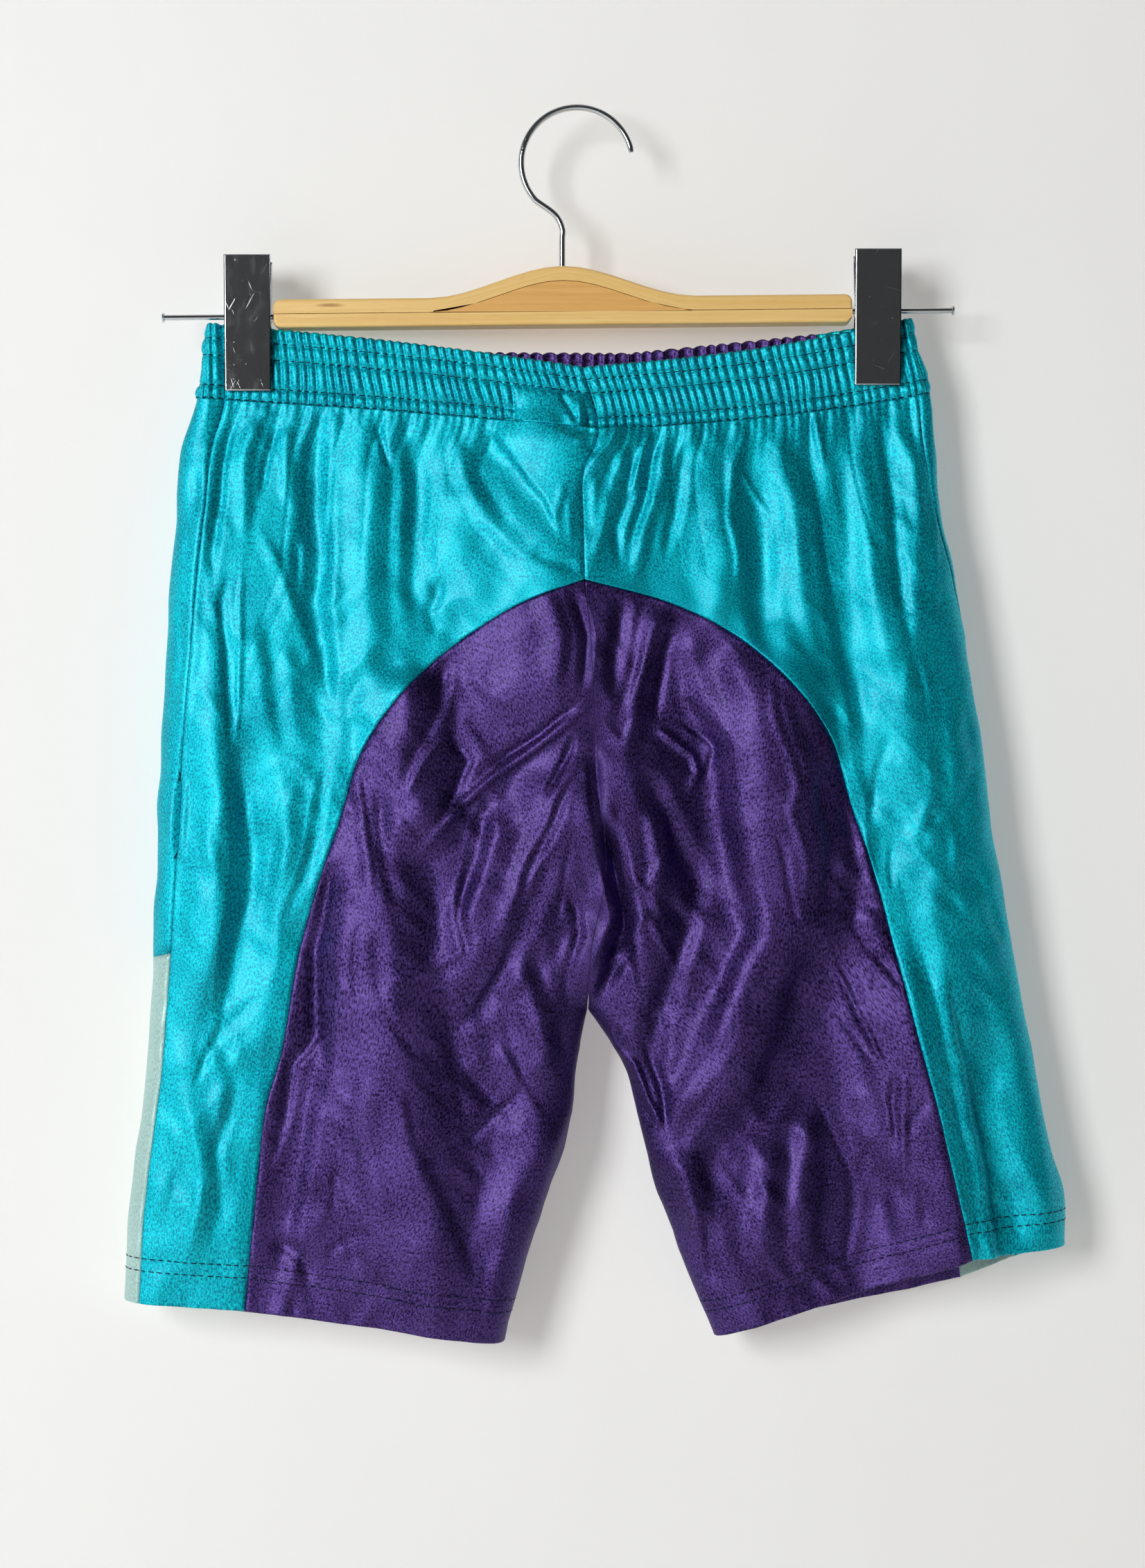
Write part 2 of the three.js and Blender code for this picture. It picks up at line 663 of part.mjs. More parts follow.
function addHanger(parent) {
  const { low, up, fill } = barPieces();
  const tilted = new THREE.Group();
  const middle = new THREE.Vector3((BAR.left + BAR.right) / 2, 0, ROD.z);
  tilted.position.copy(middle);
  tilted.rotation.y = -THREE.MathUtils.degToRad(BAR_TILT);
  const inner = new THREE.Group();
  inner.position.copy(middle).negate();
  tilted.add(inner);
  parent.add(tilted);

  const bore = ROD.radius + GAP;
  const bores = [
    barAlongX(bore, BAR.left - BORE_SPARE, BAR.left + ROD.grip + BORE_SPARE, ROD.z),
    barAlongX(bore, BAR.right - ROD.grip - BORE_SPARE, BAR.right + BORE_SPARE, ROD.z),
  ].map(toSolid);
  const shankLength = 2 * (ROD.grip + BORE_SPARE);
  const shankBore = new THREE.CylinderGeometry(WIRE + GAP, WIRE + GAP, shankLength, 16);
  shankBore.rotateX(Math.PI / 2).translate(SHANK.x, 0, barTop(0));
  const cut = (outline) => {
    const strip = toSolid(plate(outline, BAR.thick));
    return toGeometry([...bores, toSolid(shankBore)].reduce((solid, tool) => solid.subtract(tool), strip));
  };
  addMesh(inner, 'bar_lower_strip', cut(low), 'wood');
  addMesh(inner, 'bar_upper_strip', cut(up), 'wood');
  addMesh(inner, 'bar_infill', cut(fill), 'infill');
  for (const [name, end, mouth, out] of [
    ['rod_left', ROD.left, BAR.left, -1],
    ['rod_right', ROD.right, BAR.right, 1],
  ]) {
    addMesh(inner, name, rod(end, mouth, out), 'chrome');
  }
  addMesh(parent, 'hook', hook(), 'chrome');
}

/** Rod with a flat head, turned about its own axis and laid along X. */
function rod(end, mouth, out) {
  const length = Math.abs(end - mouth) + ROD.grip;
  const profile = [
    [0, 0],
    [ROD.radius, 0],
    [ROD.radius, length - ROD.headThick],
    [ROD.head, length - ROD.headThick],
    [ROD.head, length],
    [0, length],
  ].map(([radius, along]) => new THREE.Vector2(radius, along));
  const geometry = new THREE.LatheGeometry(profile, 16);
  return geometry.rotateZ((-out * Math.PI) / 2).translate(mouth - out * ROD.grip, 0, ROD.z);
}

// ---- Clips ----
/** Profile of a jaw's web in Y and Z about the pivot: y of its inner face at a height. */
const webFace = (z) => GRIP + PLEAT_DEPTH + GAP + CLIP.padThick + GAP / 2 + (z + CLIP.below) * CLIP.lean;

/** Outline in Y and Z, extruded along X from one side to the other. */
function prismAlongX(outline, from, to) {
  const shape = new THREE.Shape(outline.map(([y, z]) => new THREE.Vector2(y, z)));
  const geometry = new THREE.ExtrudeGeometry(shape, { depth: to - from, bevelEnabled: false });
  geometry.applyMatrix4(
    new THREE.Matrix4().set(0, 0, 1, from, 1, 0, 0, 0, 0, 1, 0, 0, 0, 0, 0, 1),
  );
  return geometry;
}

/** A jaw of bent sheet: a flat web, and an ear down each side that reaches round the rod. */
function jaw(width) {
  const [top, bottom] = [CLIP.above, -CLIP.below];
  const web = [
    [webFace(bottom), bottom],
    [webFace(bottom) + CLIP.sheet, bottom],
    [webFace(top) + CLIP.sheet, top],
    [webFace(top), top],
  ];
  const lap = CLIP.sheet / 4; // how far the ear sinks into the web
  const tip = CLIP.ear * 0.6;
  const ear = [
    [webFace(bottom) + lap, bottom + CLIP.sheet],
    [webFace(top) + lap, top - CLIP.sheet],
    [webFace(top) - CLIP.flangeTop, top - CLIP.sheet],
    [webFace(0) - CLIP.flangeTop, CLIP.earShoulder],
    [CLIP.earNeck, CLIP.ear],
    [-CLIP.earTail, tip],
    [-CLIP.earTail, -tip],
    [CLIP.earNeck, -CLIP.ear],
    [webFace(-CLIP.ear) - CLIP.flangeFoot, -CLIP.ear - CLIP.sheet],
    [webFace(bottom) - CLIP.flangeFoot, bottom + CLIP.sheet],
  ];
  const half = width / 2;
  const sides = [
    [-half, -half + CLIP.sheet],
    [half - CLIP.sheet, half],
  ];
  let solid = toSolid(prismAlongX(web, -half, half));
  for (const [from, to] of sides) solid = solid.add(toSolid(prismAlongX(ear, from, to)));
  return toGeometry(solid.subtract(toSolid(barAlongX(ROD.radius + GAP, -half - 1, half + 1, 0))));
}

function addClip(parent, half) {
  const clip = new THREE.Group();
  const x = CLIP[half];
  const rise = Math.tan(THREE.MathUtils.degToRad(BAR_TILT)) * (x - (BAR.left + BAR.right) / 2);
  clip.position.set(x, 0, ROD.z + rise);
  parent.add(clip);
  const narrow = CLIP.width - 2 * (CLIP.sheet + GAP);
  const front = jaw(CLIP.width).rotateZ(Math.PI);
  addMesh(clip, `clip_${half}_front_jaw`, front, 'chrome');
  addMesh(clip, `clip_${half}_back_jaw`, jaw(narrow), 'chrome');
  const coil = [
    [ROD.radius + GAP, -SPRING.half],
    [SPRING.radius, -SPRING.half],
    [SPRING.radius, SPRING.half],
    [ROD.radius + GAP, SPRING.half],
    [ROD.radius + GAP, -SPRING.half],
  ].map(([radius, along]) => new THREE.Vector2(radius, along));
  addMesh(clip, `clip_${half}_spring`, new THREE.LatheGeometry(coil, 16).rotateZ(Math.PI / 2), 'chrome');
  const padWidth = narrow - 2 * (CLIP.sheet + GAP);
  for (const [name, side] of [['front', -1], ['back', 1]]) {
    const pad = new THREE.BoxGeometry(padWidth, CLIP.padThick, CLIP.padHeight);
    const mesh = addMesh(clip, `clip_${half}_${name}_pad`, pad, 'rubber');
    const y = GRIP + PLEAT_DEPTH + GAP + CLIP.padThick / 2;
    mesh.position.set(0, side * y, -CLIP.below + CLIP.padFoot + CLIP.padHeight / 2);
  }
}

const shorts = new THREE.Group();
addPanels(shorts);
addWaist(shorts);
const hanger = new THREE.Group();
addHanger(hanger);
for (const half of HALVES) addClip(hanger, half);
const shortsOnHanger = new THREE.Group();
shortsOnHanger.add(shorts, hanger);

export default shortsOnHanger;
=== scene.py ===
"""Cycling shorts of satin knit, hung by two clips from a wooden hanger.

Sizes in the classes are millimetres and meshes are written in metres. The origin is the inner top of
the hook, +Z is up and -Y is the front.
"""
import logging
import math
from dataclasses import dataclass, field, replace
from enum import Enum
from functools import cached_property, reduce
from typing import Callable

import bmesh
import bpy
import numpy as np
from mathutils import Matrix, Vector


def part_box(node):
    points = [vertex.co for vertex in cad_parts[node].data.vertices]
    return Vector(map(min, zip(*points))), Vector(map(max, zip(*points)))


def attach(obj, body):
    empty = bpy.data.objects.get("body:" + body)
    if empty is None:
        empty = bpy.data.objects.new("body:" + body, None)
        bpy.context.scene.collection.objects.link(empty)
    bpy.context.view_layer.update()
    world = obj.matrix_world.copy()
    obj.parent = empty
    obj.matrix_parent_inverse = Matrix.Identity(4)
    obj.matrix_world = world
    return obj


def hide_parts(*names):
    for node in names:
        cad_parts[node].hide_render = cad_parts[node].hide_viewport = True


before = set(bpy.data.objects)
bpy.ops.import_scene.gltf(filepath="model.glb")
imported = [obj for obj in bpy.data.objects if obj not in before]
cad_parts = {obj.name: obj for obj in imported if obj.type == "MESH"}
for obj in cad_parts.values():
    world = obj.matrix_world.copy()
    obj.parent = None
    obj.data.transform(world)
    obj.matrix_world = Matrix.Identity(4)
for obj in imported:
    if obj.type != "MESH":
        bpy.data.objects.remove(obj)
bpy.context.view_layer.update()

Array = np.ndarray
Socket = bpy.types.NodeSocket
Piece = bpy.types.Object
Mesh = bpy.types.Mesh
Material = bpy.types.Material
BMesh = bmesh.types.BMesh

LOG = logging.getLogger("shorts")
MM = 0.001  # Metres in a millimetre.
PANEL_WIDTH = 120.0  # Width of a usual panel.
SEAM_STEPS = (0.3, 0.8, 1.5, 2.5)  # Places on it of the columns beside a seam.
HARD_EDGE = 28.0  # Edges of a solid that turn less than this, in degrees, aren't rounded.


class Half(Enum):
    """One half of the shorts, as the viewer in front sees it."""

    LEFT = "left"
    RIGHT = "right"

    @property
    def out(self) -> int:
        """Sign of X away from the middle."""
        return -1 if self is Half.LEFT else 1

    @property
    def row(self) -> int:
        """Place of this half in a pair of tables."""
        return 0 if self is Half.LEFT else 1


class Face(Enum):
    """Front or back layer, with the sign of its outward Y."""

    FRONT = -1
    BACK = 1


class Part(Enum):
    """Part of the waist casing in each half, with its place in a row of them and the seed of its pleats."""

    FRONT = (0, 2)
    SIDE = (1, 12)
    BACK = (2, 22)

    @property
    def label(self) -> str:
        """Word for it in the names of pieces."""
        return self.name.lower()

    @property
    def place(self) -> int:
        """Place in a row of three."""
        return self.value[0]

    def seed(self, half: Half) -> int:
        """Seed of its pleats in a half."""
        return self.value[1] + half.out


# ---- small mathematics


def smooth(value: Array) -> Array:
    """Eased step from 0 to 1."""
    held = np.clip(value, 0.0, 1.0)
    return held * held * (3.0 - 2.0 * held)


def mix(low: Array, high: Array, part: Array) -> Array:
    """Value a part of the way from low to high."""
    return low + (high - low) * part


def length_of(vectors: Array) -> Array:
    """Lengths of the vectors along the last axis."""
    return np.linalg.norm(vectors, axis=-1)


def unit(vectors: Array) -> Array:
    """Vectors along the last axis, at length 1."""
    return vectors / np.maximum(length_of(vectors)[..., None], 1e-9)


def noise(u: Array, v: Array, seed: int) -> Array:
    """Smooth value noise between -1 and 1, with cells one unit wide.

    Args:
        u: First coordinate.
        v: Second coordinate.
        seed: Which of the patterns to use.

    Returns:
        The noise at each point.
    """
    i, j = np.floor(u), np.floor(v)
    f, g = smooth(u - i), smooth(v - j)

    def corner(a: int, b: int) -> Array:
        """Fixed random value of one corner of the cell."""
        hashed = np.sin((i + a) * 127.1 + (j + b) * 311.7 + seed * 74.7) * 43758.5453
        return 2.0 * (hashed - np.floor(hashed)) - 1.0

    return mix(mix(corner(0, 0), corner(1, 0), f), mix(corner(0, 1), corner(1, 1), f), g)


def band(value: Array, low: float, high: float, rise: float, fall: float) -> Array:
    """1 between two ends and 0 outside them, with a soft rise and fall inside."""
    return smooth((value - low) / rise) * smooth((high - value) / fall)


def sample(run: Array, values: Array, at: float) -> Array:
    """Columns of values at a place along a run that increases."""
    return np.array([np.interp(at, run, column) for column in values.T])


def along(table: tuple, section: Array) -> Array:
    """Columns of a table at fractional rows, on a Catmull-Rom spline.

    Args:
        table: Rows of numbers.
        section: Fractional row numbers, of any shape.

    Returns:
        The columns, on a new last axis.
    """
    rows = np.array(table, dtype=float)
    last = len(rows) - 1
    held = np.vstack([2 * rows[0] - rows[1], rows, 2 * rows[last] - rows[last - 1]])
    index = np.clip(np.floor(section).astype(int), 0, last - 1)
    t = (section - index)[..., None]
    a, b, c, d = (held[index + step] for step in range(4))
    return b + 0.5 * t * (c - a + t * (2 * a - 5 * b + 4 * c - d + t * (3 * b - 3 * c + d - a)))


# ---- the cut


@dataclass(frozen=True)
class Cut:
    """Seam lines of the shorts in X and Z, one row for each section from waist to hem.

    Attributes:
        casing: Section of the seam below the waist casing.
        arch_top: Section where the arch seam leaves the centre front.
        crotch: Section of the crotch.
        mint_top: Section where the mint wedge starts.
        hem: Section of the hems.
        centre_front: Centre front seam, down to the crotch.
        centre_back: Centre back seam, down to the crotch.
        inner_leg: Inner leg seam of each half, from the crotch.
        arch: Arch seam of each half, from its top.
        sides: Outer edge of each half, how far its side seam lies in front, and the seam of the seat.
        bow: How far the sections of each half rise in the middle, at the waist.
        bow_end: Section where they are straight.
    """

    casing: float = 1.0
    arch_top: int = 4
    crotch: int = 11
    mint_top: float = 10.5
    hem: float = 15.0
    centre_front: tuple = (
        (5.8, -120.5), (13, -148.5), (6, -168.5), (6, -191), (6.5, -218), (9, -240.5), (10.5, -268.5),
        (12.5, -297), (14.5, -326), (15.5, -354.5), (9.5, -387), (8, -414.7),
    )
    centre_back: tuple = (
        (27, -112), (27, -141), (27, -168), (26, -197), (25, -224), (24, -251), (22, -277), (20, -303),
        (17.5, -329), (14.5, -356), (11, -386), (8, -414.7),
    )
    inner_leg: tuple = (
        ((8, -414.7), (3.5, -440), (0, -468), (-14, -510), (-30.5, -568)),
        ((8, -414.7), (24.5, -440), (33, -475), (48, -520), (66.5, -565.5)),
    )
    arch: tuple = (
        (
            (6.5, -218), (-24, -229.5), (-55.5, -249.5), (-79, -272.5), (-96, -298), (-105, -327),
            (-116, -359.5), (-124.5, -390), (-131.5, -431), (-139.5, -461.5), (-144.5, -506), (-149, -552),
        ),
        (
            (6.5, -218), (43.5, -227.5), (74.5, -242.5), (100, -264.5), (119, -290), (128.5, -321),
            (138.5, -350.5), (148.5, -389), (158.5, -429), (167.5, -461.5), (176, -498), (183, -528),
        ),
    )
    sides: tuple = (
        (
            (-168, -99.3, 7, -60, -111.5), (-172.5, -133, 13, -62, -141), (-179, -156, 14, -68, -166),
            (-181.5, -183, 14, -76, -192), (-184.3, -212, 13.5, -85, -220), (-186, -238, 13, -93, -247),
            (-187.5, -264, 12.5, -101, -275), (-189, -290, 12, -108, -303), (-190, -316, 11, -115, -331),
            (-191, -343, 10.5, -121, -360), (-191.8, -374, 9.5, -127, -392), (-193.5, -408, 9, -132, -426),
            (-196.2, -443, 8.8, -138, -458), (-199.5, -475, 8, -144, -490), (-204, -511, 8, -151, -523),
            (-206.3, -548.5, 8.3, -158, -557),
        ),
        (
            (157, -97, 4, 113.5, -104), (166.4, -131, 7, 114, -136), (168.5, -156, 5.5, 117, -162),
            (171, -182, 3.5, 122, -190), (176.5, -213, 1.5, 127, -218), (181.5, -243, -0.5, 132, -246),
            (187, -272, -3, 137, -274), (191, -303, -6, 142, -303), (194.3, -330, -9, 147, -332),
            (199.5, -357, -12, 152, -361), (203.5, -385, -14, 157, -391), (209, -415, -16, 162, -422),
            (214.5, -443, -18, 167, -452), (221, -474, -20, 172, -482), (228, -504, -21, 177, -513),
            (228, -523.7, -22, 181.8, -541),
        ),
    )
    bow: tuple = (1.5, -3.5)
    bow_end: float = 4.0

    def front(self, section: Array) -> Array:
        """Centre front seam."""
        return along(self.centre_front, section)

    def back(self, section: Array) -> Array:
        """Centre back seam."""
        return along(self.centre_back, section)

    def leg(self, half: Half, section: Array) -> Array:
        """Inner leg seam, below the crotch."""
        return along(self.inner_leg[half.row], section - self.crotch)

    def arch_seam(self, half: Half, section: Array) -> Array:
        """Arch seam between the side and the inner leg, below the centre front."""
        return along(self.arch[half.row], section - self.arch_top)

    def front_seam(self, half: Half, section: Array) -> Array:
        """Inner edge of a side panel: the centre front, then the arch seam."""
        above = self.front(np.minimum(section, self.arch_top))
        below = self.arch_seam(half, np.maximum(section, self.arch_top))
        return np.where((section <= self.arch_top)[..., None], above, below)

    def outer(self, half: Half, section: Array) -> Array:
        """Outer edge of the flattened tube."""
        return along(self.sides[half.row], section)[..., :2]

    def side_reach(self, half: Half, section: Array) -> Array:
        """How far the side seam lies in front of the outer edge."""
        return along(self.sides[half.row], section)[..., 2]

    def back_seam(self, half: Half, section: Array) -> Array:
        """Seam between the seat and the side."""
        return along(self.sides[half.row], section)[..., 3:]


@dataclass
class Wall:
    """Grid of points on the outside of the cloth.

    Attributes:
        point: Places, rows by columns by 3.
        inward: Unit vectors into the cloth.
        closing: Sine of the turn round the tube's edge, 1 on the flat.
        face: -1 where the point lies in front, 1 behind.
        cut: Place on the flat cloth, across and down.
    """

    point: Array
    inward: Array
    closing: Array
    face: Array
    cut: Array

    def raise_by(self, height: Array) -> None:
        """Moves the points out of the cloth, less and less towards the tube's edge."""
        self.point[..., 1] += self.face * height * self.closing

    def swell_by(self, height: Array) -> None:
        """Moves the points straight out of the cloth, at the tube's edge too."""
        self.point -= self.inward * height[..., None]


@dataclass(frozen=True)
class Tube:
    """Depth of the flattened tubes of the waist and legs.

    Attributes:
        cut: Seam lines.
        drops: Depths below the origin that the next two rows belong to.
        half_depths: Half depth of the tube there.
        radii: Radius of its closing at the edge there.
        grip: Half depth of the waist in the clips.
        waist_open: What the open waist adds between them.
        side_loop: What it adds beyond them.
        loop_rise: Length in which it does.
        grip_end: Height where the waist's depth starts to give way to the hip's.
        hip_start: Height where it has.
        clips: X of the two clips.
        clip_reach: Half width of a clip's hold.
    """

    cut: Cut = field(default_factory=Cut)
    drops: tuple = (97, 133, 165, 215, 300, 415, 570)
    half_depths: tuple = (8, 8, 10, 12, 13.5, 13, 12)
    radii: tuple = (5, 6, 14, 24, 28, 26, 22)
    grip: float = 2.9
    waist_open: float = 6.0
    side_loop: float = 1.5
    loop_rise: float = 8.0
    grip_end: float = -131.0
    hip_start: float = -212.0
    clips: tuple = (-148.3, 141.2)
    clip_reach: float = 11.6

    def edge_radius(self, z: Array) -> Array:
        """Radius of the closing at a height."""
        return np.interp(-z, self.drops, self.radii)

    def waist_depth(self, x: Array) -> Array:
        """Half depth of the waist, pinched at the clips and open between them."""
        left, right = self.clips
        span = right - left - 2 * self.clip_reach
        inner = np.clip((x - left - self.clip_reach) / span, 0, 1)
        beyond = np.maximum(np.maximum(left - self.clip_reach - x, x - right - self.clip_reach), 0)
        loop = self.side_loop * smooth(beyond / self.loop_rise)
        return self.grip + self.waist_open * np.sin(math.pi * inner) + loop

    def half_depth(self, x: Array, z: Array) -> Array:
        """Half depth at a place in plan."""
        opened = smooth((self.grip_end - z) / (self.grip_end - self.hip_start))
        return mix(self.waist_depth(x), np.interp(-z, self.drops, self.half_depths), opened)

    @staticmethod
    def round_edge(arc: Array, radius: Array) -> tuple[Array, Array]:
        """Edge angle and in-plane distance that an arc from the outer edge comes to."""
        turn = np.minimum(math.pi / 2, np.abs(arc) / radius)
        straight = np.maximum(0, np.abs(arc) - radius * math.pi / 2)
        return turn, radius * (1 - np.cos(turn)) + straight

    @staticmethod
    def edge_arc(inward: Array, radius: Array) -> Array:
        """Arc from the outer edge to an in-plane distance."""
        turn = np.arccos(1 - np.clip(np.abs(inward) / radius, 0, 1))
        return np.sign(inward) * (turn * radius + np.maximum(0, np.abs(inward) - radius))

    def wall(self, x: Array, z: Array, face: Array, turn: Array, way: Array, cut: Array) -> Wall:
        """Grid from places in plan.

        Args:
            x: Places across.
            z: Heights.
            face: -1 in front, 1 behind.
            turn: Angle of the tube's closing, a right angle on the flat.
            way: Unit vectors in plan, away from the edge.
            cut: Places on the flat cloth, across and down.

        Returns:
            The wall.
        """
        closing, slide = np.sin(turn), np.cos(turn)
        point = np.stack([x, face * self.half_depth(x, z) * closing, z], axis=-1)
        inward = np.stack([way[..., 0] * slide, -face * closing, way[..., 1] * slide], axis=-1)
        return Wall(point, unit(inward), closing, face, cut)

    def ring(self, half: Half, face: Face, section: Array, part: Array) -> Wall:
        """Side panel, between the side seam and the seam of the front or the seat.

        Args:
            half: Which half.
            face: Front panel, or back one, which turns round the outer edge too.
            section: Column of sections.
            part: Row of fractions, from the front seam to the side, or from there to the back seam.

        Returns:
            The wall.
        """
        cut = self.cut
        outer = cut.outer(half, section)
        front, back = cut.front_seam(half, section), cut.back_seam(half, section)
        radius = self.edge_radius(outer[..., 1])
        seam = self.edge_arc(cut.side_reach(half, section), radius)
        if face is Face.FRONT:
            arc = mix(self.edge_arc(length_of(front - outer), radius), seam, part)
        else:
            arc = mix(seam, -self.edge_arc(length_of(back - outer), radius), part)
        ahead = arc > 0
        end = np.where(ahead[..., None], front, back)
        length = length_of(end - outer)
        way = unit(end - outer)
        turn, inward = self.round_edge(arc, radius)
        rise = cut.bow[half.row] * np.clip(1 - section / cut.bow_end, 0, 1)
        bow = np.where(ahead, rise * np.sin(math.pi * np.clip(inward / length, 0, 1)), 0)
        place = outer + way * inward[..., None]
        uv = np.stack([arc, np.broadcast_to(outer[..., 1], arc.shape)], axis=-1)
        sign = np.where(ahead, Face.FRONT.value, Face.BACK.value)
        return self.wall(place[..., 0], place[..., 1] + bow, sign, turn, way, uv)

    def span(self, half: Half, face: Face, section: Array, part: Array) -> Wall:
        """Panel from the centre seam or inner leg out to the arch or back seam.

        Args:
            half: Which half.
            face: Front leg or seat.
            section: Column of sections.
            part: Row of fractions from the inner edge to the outer one.

        Returns:
            The wall.
        """
        cut = self.cut
        in_leg = section >= cut.crotch
        centre = cut.front(section) if face is Face.FRONT else cut.back(np.minimum(section, cut.crotch))
        edge = np.where(in_leg[..., None], cut.leg(half, section), centre)
        end = cut.arch_seam(half, section) if face is Face.FRONT else cut.back_seam(half, section)
        length = length_of(end - edge)
        way = unit(end - edge)
        radius = np.minimum(self.edge_radius(edge[..., 1]), length / 2)
        arc = self.edge_arc(length, radius) * part
        turn, inward = self.round_edge(arc, radius)
        place = edge + way * inward[..., None]
        x, z = place[..., 0], place[..., 1]
        crotch_x, crotch_z = cut.centre_front[cut.crotch]
        away = np.hypot(x - crotch_x, np.maximum(0, z - crotch_z)) / self.edge_radius(z)
        closed = np.where(z < crotch_z, math.pi / 2, np.arccos(1 - np.clip(away, 0, 1)))
        turn = np.where(in_leg, turn, closed)
        way = np.broadcast_to(way, (*arc.shape, 2))
        down = np.broadcast_to(edge[..., 1], arc.shape)
        sign = np.full(arc.shape, face.value)
        return self.wall(x, z, sign, turn, way, np.stack([half.out * arc, down], axis=-1))


# ---- creases


@dataclass(frozen=True)
class Crease:
    """Trough or ridge along a line in plan.

    Attributes:
        line: Points in X and Z.
        near: Half width on the left of a line that runs down.
        far: Half width on its other side.
        height: How far it stands out, or lies in where negative.
        crisp: 1 for a round one, up to 2 for one of two planes that meet in a line.
    """

    line: tuple
    near: float
    far: float
    height: float
    crisp: float

    START = (0.22, 0.15)  # Part of its length in which it rises, and how far up it starts.
    END = (0.3, 0.1)  # The same at its end.
    NARROW = 0.65  # Its width at both ends, as a part of the whole.
    TENT = (1.16, 1.0098, 0.0196)  # Scale, top and squared rounding of two planes that meet.
    FOOT = (1.08, 0.08)  # Scale and softness of their foot.

    def lift(self, x: Array, z: Array) -> Array:
        """Height that the crease adds at places in plan."""
        points = np.array(self.line, dtype=float)
        spans = length_of(np.diff(points, axis=0))
        reach = max(self.near, self.far)
        low, high = points.min(axis=0) - reach, points.max(axis=0) + reach
        result = np.zeros(x.shape)
        inside = (x > low[0]) & (x < high[0]) & (z > low[1]) & (z < high[1])
        if not inside.any():
            return result
        px, pz = x[inside], z[inside]
        best = np.full(px.shape, 1e9)
        side = np.zeros(px.shape)
        run = np.zeros(px.shape)
        start = 0.0
        for first, last, length in zip(points[:-1], points[1:], spans):
            dx, dz = (last - first) / length
            step = np.clip((px - first[0]) * dx + (pz - first[1]) * dz, 0, length)
            off_x, off_z = px - first[0] - step * dx, pz - first[1] - step * dz
            off = np.hypot(off_x, off_z)
            nearer = off < best
            best = np.where(nearer, off, best)
            side = np.where(nearer, -off_x * dz + off_z * dx, side)
            run = np.where(nearer, start + step, run)
            start += length
        run /= start
        width = mix(self.near, self.far, smooth(0.5 + side / max(0.6, 0.4 * reach)))
        (rise, start), (fall, end) = self.START, self.END
        taper = smooth(run / rise + start) * smooth((1 - run) / fall + end)
        width = width * mix(self.NARROW, 1.0, taper)
        off = np.minimum(best / width, 1.0)
        scale, top, rounding = self.TENT
        tent = scale * (top - np.sqrt(off * off + rounding))
        scale, soft = self.FOOT
        tent = scale * tent * tent / (tent + soft)
        form = mix(smooth(1 - off), tent, self.crisp - 1)
        result[inside] = self.height * taper * form
        return result

    def turned(self, about: float, shift: tuple[float, float], scale: float) -> "Crease":
        """Similar crease on the other layer, mirrored across a middle line."""
        line = tuple((2 * about - x + shift[0], z + shift[1]) for x, z in self.line)
        return Crease(line, self.far, self.near, self.height * scale, self.crisp)


